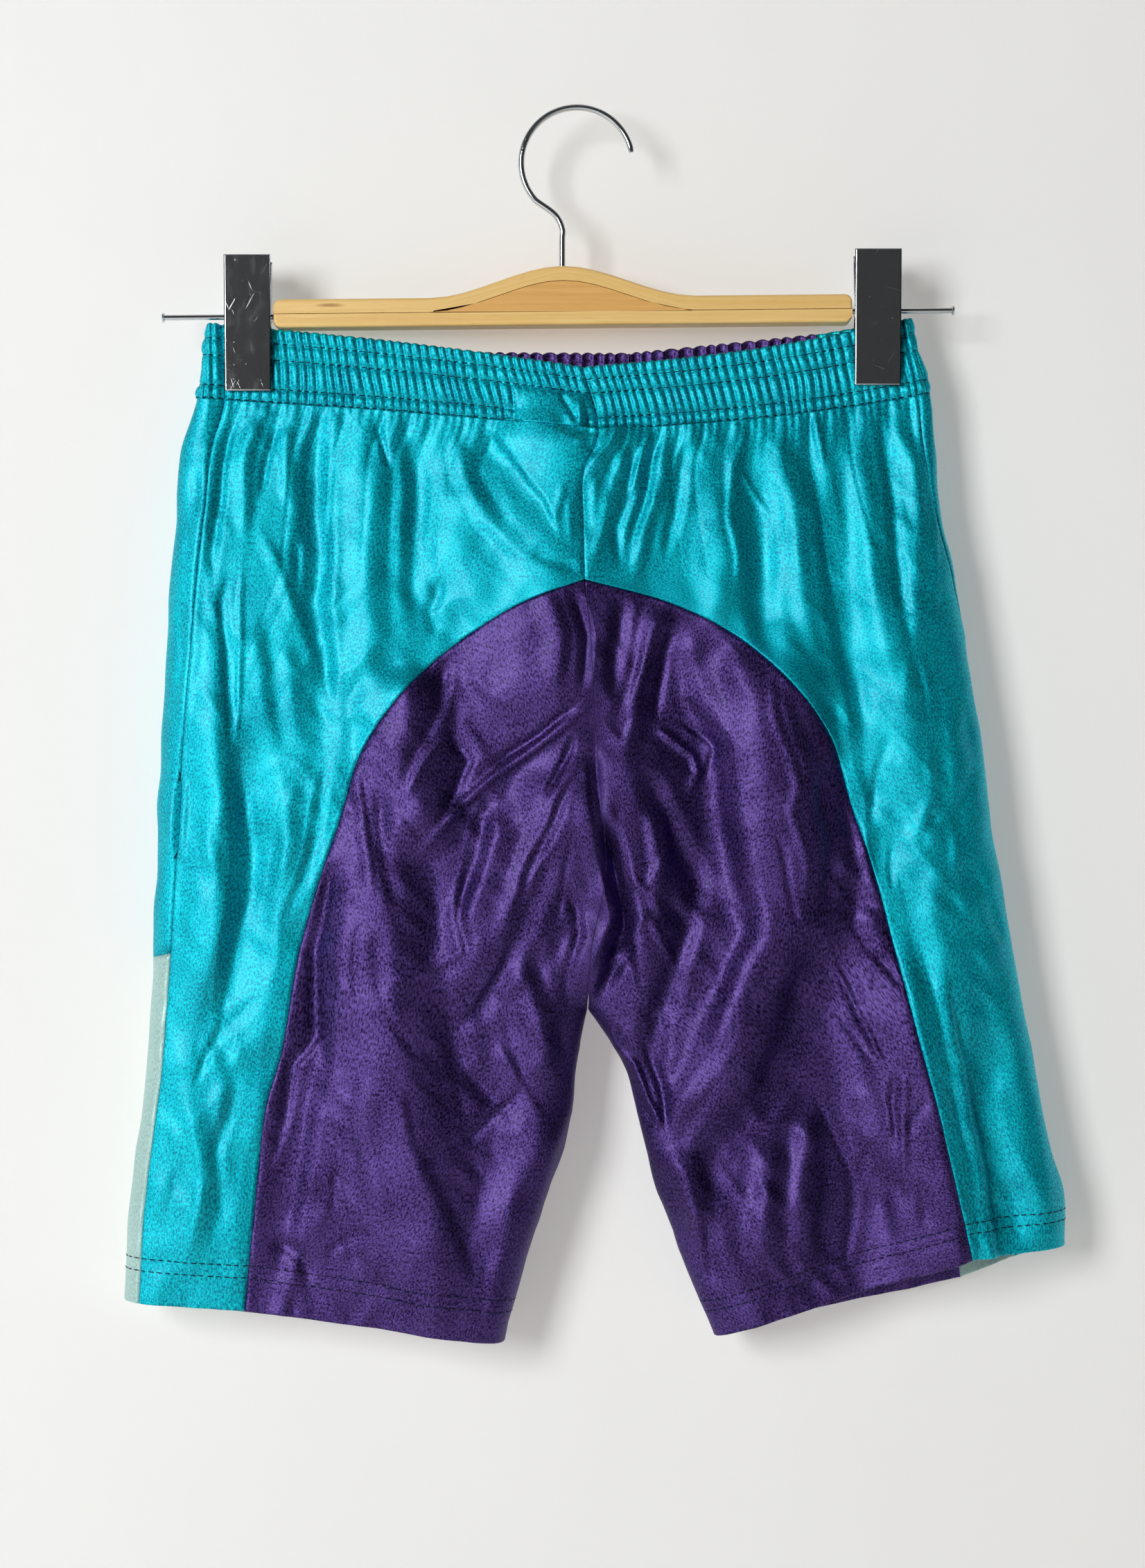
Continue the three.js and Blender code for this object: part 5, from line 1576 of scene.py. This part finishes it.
@dataclass(frozen=True)
class Chrome(Finish):
    """Bright plating with a few dots, smears and fine scratches.

    Attributes:
        tone: Colour of the plating.
        worn: Colour of the marks.
        scratches: Turn and seed of each set of scratches.
    """

    tone: tuple = (0.66, 0.67, 0.69)
    worn: tuple = (0.8, 0.8, 0.8)
    scratches: tuple = ((0.35, 3.0), (-0.5, 9.0), (1.25, 17.0))

    def nodes(self, recipe: Recipe) -> Material:
        """Writes the nodes of the material, and returns it."""
        place = recipe.add("TexCoord").outputs["Object"]
        sets = []
        for turn, seed in self.scratches:
            mapped = recipe.add("Mapping", Vector=place, Rotation=(0.0, turn, 0.0), Location=(seed, 0.0, seed))
            lines = recipe.noise(mapped.outputs[0], (0.00035, 1.0, 0.02), 1.0, 0.4)
            sets.append(recipe.span(lines, 0.72, 0.78, 0.0, 1.0))
        lines = reduce(lambda first, second: recipe.math("MAXIMUM", first, second), sets)
        smear = recipe.span(recipe.noise(place, (0.004, 0.01, 0.009), 3.0, 0.6), 0.5, 0.8, 0.09, 0.2)
        dots = recipe.span(recipe.noise(place, (0.0011, 1.0, 0.0011), 1.0), 0.74, 0.8, 0.0, 1.0)
        marks = recipe.math("MAXIMUM", recipe.math("MULTIPLY", lines, 0.55), recipe.math("MULTIPLY", dots, 0.8))
        return recipe.surface(
            Base_Color=recipe.blend(marks, self.tone, self.worn),
            Metallic=0.93,
            Roughness=recipe.math("ADD", recipe.math("MULTIPLY", marks, 0.38), smear),
            Normal=recipe.bump(marks, 0.2, 0.0001),
        )


@dataclass(frozen=True)
class Plain(Finish):
    """Even matt stuff with a little mottle: rubber, thread, wall and floor; the wall and floor also glow with painted
    light.

    Attributes:
        low: Darker colour.
        high: Lighter colour.
        grain: Size of the mottle in metres.
        rough: Its roughness.
        glow: Painted light that it gives off, though it is no lamp.
        one_sided: Whether it can't be seen from behind.
    """

    low: tuple
    high: tuple
    grain: float
    rough: float
    glow: float = 0.0
    one_sided: bool = False

    def nodes(self, recipe: Recipe) -> Material:
        """Writes the nodes of the material, and returns it."""
        place = recipe.add("TexCoord").outputs["Object"]
        mottle = recipe.noise(place, (self.grain,) * 3, 3.0)
        return recipe.surface(
            self.one_sided,
            Base_Color=recipe.blend(recipe.span(mottle, 0.3, 0.7, 0.0, 1.0), self.low, self.high),
            Roughness=self.rough,
            Specular_IOR_Level=0.3,
            Normal=recipe.bump(mottle, 0.15, 0.1 * self.grain),
            # Painted light: a warm glow, though the wall and floor are no lamps, which lifts them and the shadows on
            # the wall.
            Emission_Color=(1.03, 0.98, 0.93, 1),
            Emission_Strength=self.glow,
        )


# ---- the hanger


def wire_mesh(name: str, points: Array, radius: float, sides: int, tip: float = 1.0) -> Mesh:
    """Round wire along points.

    Args:
        name: Name of the mesh.
        points: Points of its centre line.
        radius: Radius of the wire.
        sides: Resolution of its section.
        tip: Radius at the first point, as a part of the whole.

    Returns:
        The mesh.
    """
    curve = bpy.data.curves.new(name, "CURVE")
    curve.dimensions = "3D"
    curve.bevel_depth = radius * MM
    curve.bevel_resolution = sides
    curve.use_fill_caps = True
    spline = curve.splines.new("POLY")
    spline.points.add(len(points) - 1)
    for point, place in zip(spline.points, points):
        point.co = (*(Vector(place) * MM), 1)
    spline.points[0].radius = tip
    holder = new_object(name, curve)
    bpy.context.view_layer.update()
    mesh = bpy.data.meshes.new_from_object(holder.evaluated_get(bpy.context.evaluated_depsgraph_get()))
    bpy.data.objects.remove(holder)
    bpy.data.curves.remove(curve)
    mesh.materials.clear()
    mesh.shade_smooth()
    mesh.set_sharp_from_angle(angle=math.radians(50))
    return mesh


def eased_copy(name: str, width: float, keep: Callable[[Vector, float], bool], segments: int = 3) -> Mesh:
    """Copy of a node's solid with some of its edges rounded.

    Args:
        name: Name of the node.
        width: Width of the rounding.
        keep: Says for the middle of an edge, in millimetres, and its length whether it is rounded.
        segments: Steps of the rounding.

    Returns:
        The mesh, smooth but for its sharp edges.
    """
    bm = bmesh.new()
    bm.from_mesh(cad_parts[name].data)
    bmesh.ops.remove_doubles(bm, verts=bm.verts, dist=2e-6)
    bmesh.ops.dissolve_limit(bm, angle_limit=math.radians(1.0), verts=bm.verts, edges=bm.edges)
    chosen = []
    for edge in bm.edges:
        if len(edge.link_faces) != 2 or edge.calc_face_angle(0) < math.radians(HARD_EDGE):
            continue
        middle = (edge.verts[0].co + edge.verts[1].co) / (2 * MM)
        if keep(middle, edge.calc_length() / MM):
            chosen.append(edge)
    bmesh.ops.bevel(
        bm,
        geom=chosen,
        offset=width * MM,
        offset_type="OFFSET",
        affect="EDGES",
        segments=segments,
        profile=0.5,
        material=-1,
    )
    bm.normal_update()
    turned = []
    for face in bm.faces:
        for corner in face.loops:
            near = [other for other in corner.vert.link_faces if other.normal.dot(face.normal) > 0.6]
            total = sum((other.normal * other.calc_area() for other in near), Vector())
            turned.append(total.normalized() if total.length > 0 else face.normal.copy())
    mesh = mesh_from(bm, f"{name}_eased")
    mesh.normals_split_custom_set(turned)
    return mesh


@dataclass
class Hanger:
    """Wooden bar of two glued strips with an infill, its hook and its rods.

    Attributes:
        ends: Ends of the bar across.
        join: Height of the glue line.
        hump: Rise and half length of the bent strip.
        ease: Rounding of the bar's outer edges.
        hook_radius: Of the wire's centre line.
        hook_centre: In X and Z.
        hook_turn: Angles of the tip and of the end of the round, in degrees.
        shank: Points of the shank in X and Z.
        wire: Radius of the hook's wire.
        rod: Radius of a rod, and radius and thickness of its head.
        rod_ends: Outer ends of the rods.
        rod_height: Height of the rods at the bar's middle.
        rod_grip: How far they are sunk into the bar.
        tilt: Slope of both rods, in degrees.
    """

    ends: tuple = (-136.6, 129.6)
    join: float = -93.9
    hump: tuple = (14.2, 61.0)
    ease: float = 1.3
    hook_radius: float = 25.7
    hook_centre: tuple = (3.0, -24.2)
    hook_turn: tuple = (11.0, 222.0)
    shank: tuple = ((-7.2, -48.0), (-3.8, -54.5), (-3.8, -60.0), (-3.8, -73.0), (-3.8, -85.0))
    wire: float = 1.5
    rod: tuple = (1.3, 2.25, 1.2)
    rod_ends: tuple = (-188.5, 177.3)
    rod_height: float = -94.0
    rod_grip: float = 12.0
    tilt: float = 0.53

    @property
    def middle(self) -> float:
        """Middle of the bar."""
        return sum(self.ends) / 2

    def rise(self, x: float) -> float:
        """Rise of the bent strip at a place."""
        offset = abs(x - self.middle)
        return self.hump[0] * float(smooth(np.array(1 - offset / self.hump[1])))

    def strip(self, node: str, finish: Timber, bent: bool) -> None:
        """One piece of the bar, with the grain of its wood.

        Args:
            node: Name of its node.
            finish: Its wood.
            bent: Whether the grain follows the hump.
        """

        def outer(middle: Vector, length: float) -> bool:
            """Whether an edge lies on the outside of the bar."""
            above = middle.z - self.join
            if node == "bar_infill" or length < 2.2:
                return False
            return above > self.rise(middle.x) + 3.2 if bent else above < -1.6

        mesh = eased_copy(node, self.ease, outer)
        if node == "bar_infill":
            self.sharpen(mesh)
        layer = mesh.uv_layers.new(name="grain")
        for loop in mesh.loops:
            x, y, z = mesh.vertices[loop.vertex_index].co / MM
            layer.data[loop.index].uv = (x, z - (self.rise(x) if bent else 0) + 0.45 * y)
        place_piece(f"{node}_wood", mesh, finish, node)

    def sharpen(self, mesh: Mesh) -> None:
        """Runs the blunt ends of the infill out into the corner between the strips."""
        reach = max(abs(v.co.x / MM - self.middle) for v in mesh.vertices)
        for vertex in mesh.vertices:
            offset = vertex.co.x / MM - self.middle
            if abs(offset) > reach - 1.0:
                vertex.co.x = (self.middle + math.copysign(self.hump[1] - 1.5, offset)) * MM
                vertex.co.z = min(vertex.co.z, (self.join + 0.35) * MM)

    def hook(self, finish: Chrome) -> None:
        """Wire hook and its shank."""
        angles = np.radians(np.linspace(*self.hook_turn, 44))
        x = self.hook_centre[0] + self.hook_radius * np.cos(angles)
        z = self.hook_centre[1] + self.hook_radius * np.sin(angles)
        turn = list(zip(x, z))
        bend = along((*turn[-3::2], *self.shank), np.linspace(1, 1 + len(self.shank), 40))
        line = np.array([(a, 0.0, b) for a, b in (*turn, *bend[1:])])
        place_piece("hook_wire", wire_mesh("hook_wire", line, self.wire, 6, 0.72), finish, "hook")

    def rods(self, finish: Chrome) -> None:
        """The two rods with their flat heads."""
        radius, head, thick = self.rod
        for half in Half:
            out, end = half.out, self.rod_ends[half.row]
            start = self.ends[half.row] - out * self.rod_grip
            profile = [(start, 0), (start, radius), (end - out * thick, radius), (end - out * thick, head - 0.3)]
            profile += [(end - out * (thick - 0.3), head), (end - out * 0.35, head), (end, head - 0.45), (end, 0)]
            bm = bmesh.new()
            verts = [bm.verts.new(((x - self.middle) * MM, 0, r * MM)) for x, r in profile]
            edges = [bm.edges.new(pair) for pair in zip(verts[:-1], verts[1:])]
            bmesh.ops.spin(
                bm, geom=verts + edges, cent=(0, 0, 0), axis=(1, 0, 0), angle=2 * math.pi, steps=24, use_merge=True
            )
            bmesh.ops.remove_doubles(bm, verts=bm.verts, dist=1e-6)
            bmesh.ops.recalc_face_normals(bm, faces=bm.faces)
            turn = Matrix.Rotation(-math.radians(self.tilt), 3, "Y")
            bmesh.ops.rotate(bm, verts=bm.verts, cent=(0, 0, 0), matrix=turn)
            bmesh.ops.translate(bm, verts=bm.verts, vec=(self.middle * MM, 0, self.rod_height * MM))
            mesh = mesh_from(bm, f"rod_{half.value}")
            mesh.set_sharp_from_angle(angle=math.radians(40))
            place_piece(f"rod_{half.value}_steel", mesh, finish, f"rod_{half.value}")

    def build(self, pine: Timber, infill: Timber, chrome: Chrome) -> None:
        """Makes the bar, the hook and the rods."""
        self.strip("bar_lower_strip", pine, False)
        self.strip("bar_upper_strip", pine, True)
        self.strip("bar_infill", infill, False)
        self.hook(chrome)
        self.rods(chrome)


@dataclass
class Clip:
    """Clip of two bent steel jaws with rubber pads and a coil spring round the rod.

    Attributes:
        half: Half of the shorts that it holds.
        jaw_ease: Rounding of the jaws' edges.
        pad_ease: Rounding of the pads' edges.
        wire: Radius of the spring's wire.
        coil_radius: Radius of its coils.
        coil_half: Half its length.
        coils: Number of its coils.
    """

    half: Half
    jaw_ease: float = 0.7
    pad_ease: float = 0.3
    wire: float = 0.5
    coil_radius: float = 2.55
    coil_half: float = 5.0
    coils: int = 7

    def build(self, chrome: Chrome, rubber: Plain) -> None:
        """Makes the jaws, the pads and the spring."""
        for side in ("front", "back"):
            jaw = f"clip_{self.half.value}_{side}_jaw"
            mesh = eased_copy(jaw, self.jaw_ease, lambda middle, length: length > 1.2, 2)
            place_piece(f"{jaw}_steel", mesh, chrome, jaw)
            pad = f"clip_{self.half.value}_{side}_pad"
            mesh = eased_copy(pad, self.pad_ease, lambda middle, length: True)
            place_piece(f"{pad}_rubber", mesh, rubber, pad)
        self.spring(chrome)

    def spring(self, chrome: Chrome) -> None:
        """Coil spring round the rod, between the jaws."""
        node = f"clip_{self.half.value}_spring"
        low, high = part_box(node)
        centre = [(a + b) / 2 / MM for a, b in zip(low, high)]
        turns = np.linspace(0, self.coils * 2 * math.pi, self.coils * 18)
        x = centre[0] + np.linspace(-self.coil_half, self.coil_half, len(turns))
        y = centre[1] + self.coil_radius * np.cos(turns)
        z = centre[2] + self.coil_radius * np.sin(turns)
        place_piece(f"{node}_coil", wire_mesh(node, np.stack([x, y, z], 1), self.wire, 2), chrome, node)


# ---- studio


@dataclass
class Studio:
    """Pale wall and floor that glow a little with painted light, soft lights, and the camera.

    Attributes:
        eye: Place of the camera, in metres.
        lens: Focal length in millimetres, on a 36 mm high sensor.
        wall: How far the wall stands behind the hanger, in metres.
        floor: Height of the floor, in metres.
        aim: Point that the lights face, in metres.
        lights: Name, place, size, power and colour of each light, as light() takes them.
        ambient: Strength of the surroundings at the sides and behind, and behind the camera.
        seen: Their strength where the camera looks at them.
    """

    eye: tuple = (0.00096, -1.230, -0.311)
    lens: float = 61.15
    wall: float = 0.0262
    floor: float = -0.92
    aim: tuple = (0.0, 0.0, -0.33)
    lights: tuple = (
        ("key", (-34, 12, 2.6), (0.75, 1.1), 49.0, (0.97, 0.99, 1.0)),
        ("right_side", (97, 0, 1.5), (0.5, 1.1), 1.5, (0.8, 0.92, 1.0)),
        ("left_side", (-97, 0, 1.5), (0.5, 1.1), 3.0, (0.8, 0.92, 1.0)),
        ("top", (0, 78, 1.6), (0.9, 0.6), 0.3, (1, 1, 1)),
        ("back_left", (-150, 20, 1.8), (0.8, 1.0), 4.5, (0.85, 0.94, 1.0)),
        ("back_right", (150, 20, 1.8), (0.8, 1.0), 4.0, (0.85, 0.94, 1.0)),
    )
    ambient: tuple = (0.046, 0.003)
    seen: float = 0.86

    def camera(self) -> None:
        """Camera in front, level with the middle of the shorts."""
        data = bpy.data.cameras.new("camera")
        data.sensor_fit = "VERTICAL"
        data.sensor_height = 36.0
        data.lens = self.lens
        data.clip_start, data.clip_end = 0.01, 50.0
        camera = new_object("camera", data)
        camera.location = self.eye
        camera.rotation_euler = (math.pi / 2, 0, 0)
        bpy.context.scene.camera = camera

    def light(self, name: str, place: tuple, size: tuple, power: float, colour: tuple) -> None:
        """Soft rectangular light that faces the shorts.

        Args:
            name: Its name.
            place: Azimuth from the front, elevation and distance, in degrees and metres.
            size: Width and height in metres.
            power: In watts.
            colour: Its colour.
        """
        data = bpy.data.lights.new(name, "AREA")
        data.shape = "RECTANGLE"
        data.size, data.size_y = size
        data.energy = power
        data.color = colour
        lamp = new_object(name, data)
        azimuth, elevation = math.radians(place[0]), math.radians(place[1])
        level = math.cos(elevation)
        away = Vector((math.sin(azimuth) * level, -math.cos(azimuth) * level, math.sin(elevation)))
        lamp.location = Vector(self.aim) + away * place[2]
        lamp.rotation_euler = away.to_track_quat("Z", "Y").to_euler()

    def backdrop(self, name: str, tilt: float, place: tuple, size: float, finish: Plain, shadow: bool) -> None:
        """Wide plane of the wall or the floor.

        Args:
            name: Its name.
            tilt: Its turn about X.
            place: Its middle, in metres.
            size: Half its width, in metres.
            finish: Its finish.
            shadow: Whether it keeps light off what lies behind it.
        """
        bm = bmesh.new()
        bmesh.ops.create_grid(bm, x_segments=2, y_segments=2, size=size)
        bmesh.ops.rotate(bm, verts=bm.verts, cent=(0, 0, 0), matrix=Matrix.Rotation(tilt, 3, "X"))
        bmesh.ops.translate(bm, verts=bm.verts, vec=place)
        plane = new_object(name, mesh_from(bm, name))
        plane.data.materials.append(finish.material)
        plane.visible_shadow = shadow

    def world(self) -> None:
        """Pale surroundings, dark behind the camera."""
        world = bpy.data.worlds.new("studio")
        bpy.context.scene.world = world
        recipe = Recipe(world)
        place = recipe.add("TexCoord").outputs["Generated"]
        front = Vector((0.0, -1.0, 0.12)).normalized()
        toward = recipe.add("VectorMath", {"operation": "DOT_PRODUCT"}, i0=place, i1=front).outputs["Value"]
        light = recipe.span(toward, 0.05, 0.55, *self.ambient)
        camera = recipe.add("LightPath").outputs["Is Camera Ray"]
        strength = recipe.add("Mix", i0=camera, i2=light, i3=self.seen).outputs[0]
        background = recipe.add("Background", Color=(1.0, 0.99, 0.975, 1), Strength=strength)
        recipe.add("OutputWorld", i0=background.outputs[0])

    def build(self) -> None:
        """Makes the whole studio."""
        self.camera()
        self.world()
        # The wall glows with painted light, which lifts it and fills the shadows on it; the floor glows a little too.
        paper = Plain(
            "pale_wall", "", (0.71, 0.71, 0.7), (0.725, 0.725, 0.715),
            grain=0.3, rough=0.9, glow=0.265, one_sided=True,
        )
        ground = Plain("pale_floor", "", (0.78, 0.77, 0.755), (0.8, 0.79, 0.775), grain=0.3, rough=0.9, glow=0.04)
        self.backdrop("wall", math.pi / 2, (0, self.wall, -0.4), size=3.0, finish=paper, shadow=False)
        self.backdrop("floor", 0.0, (0, 0, self.floor), size=4.0, finish=ground, shadow=True)
        for light in self.lights:
            self.light(*light)
        bpy.context.scene.view_settings.view_transform = "Standard"


# ---- making it all


def main() -> None:
    """Builds the studio, the shorts and the hanger."""
    logging.basicConfig(level=logging.INFO, format="%(message)s")
    Studio().build()
    teal = Satin(
        "teal_satin", "teal_knit", (0.0, 0.25, 0.4), (0.004, 0.86, 0.99), metallic=0.95, rough=0.6, coat=0.2
    )
    purple = Satin(
        "purple_satin", "purple_knit", (0.013, 0.0055, 0.048), (0.142, 0.078, 0.335),
        metallic=1.0, rough=0.54, coat=0.1,
    )
    mint = Satin("mint_satin", "mint_knit", (0.3, 0.5, 0.47), (0.5, 0.7, 0.66), metallic=0.3, rough=0.45, coat=0.25)
    thread = Plain("navy_thread", "", (0.002, 0.004, 0.02), (0.006, 0.01, 0.045), grain=0.0006, rough=0.7)
    pine = Timber("honey_pine", "pale_wood", (0.97, 0.66, 0.255), (0.86, 0.53, 0.165), (0.42, 0.18, 0.045))
    # The infill's knot lies off its end.
    tan = Timber(
        "tan_infill", "tan_wood", (0.9, 0.5, 0.15), (0.77, 0.4, 0.105), (0.36, 0.15, 0.045), knot=(-400.0, 0.0)
    )
    chrome = Chrome("scratched_chrome", "steel")
    rubber = Plain("clip_rubber", "grip", (0.018, 0.018, 0.018), (0.035, 0.034, 0.033), grain=0.001, rough=0.75)

    panels = Panels()
    panels.build(teal, purple, mint)
    casing = Casing()
    casing.build(teal, purple)
    stitching = Stitching()
    stitching.casing_rows(casing, thread)
    stitching.hem_rows(panels, thread)
    Hanger().build(pine, tan, chrome)
    for half in Half:
        Clip(half).build(chrome, rubber)


if __name__ == "__main__":
    main()
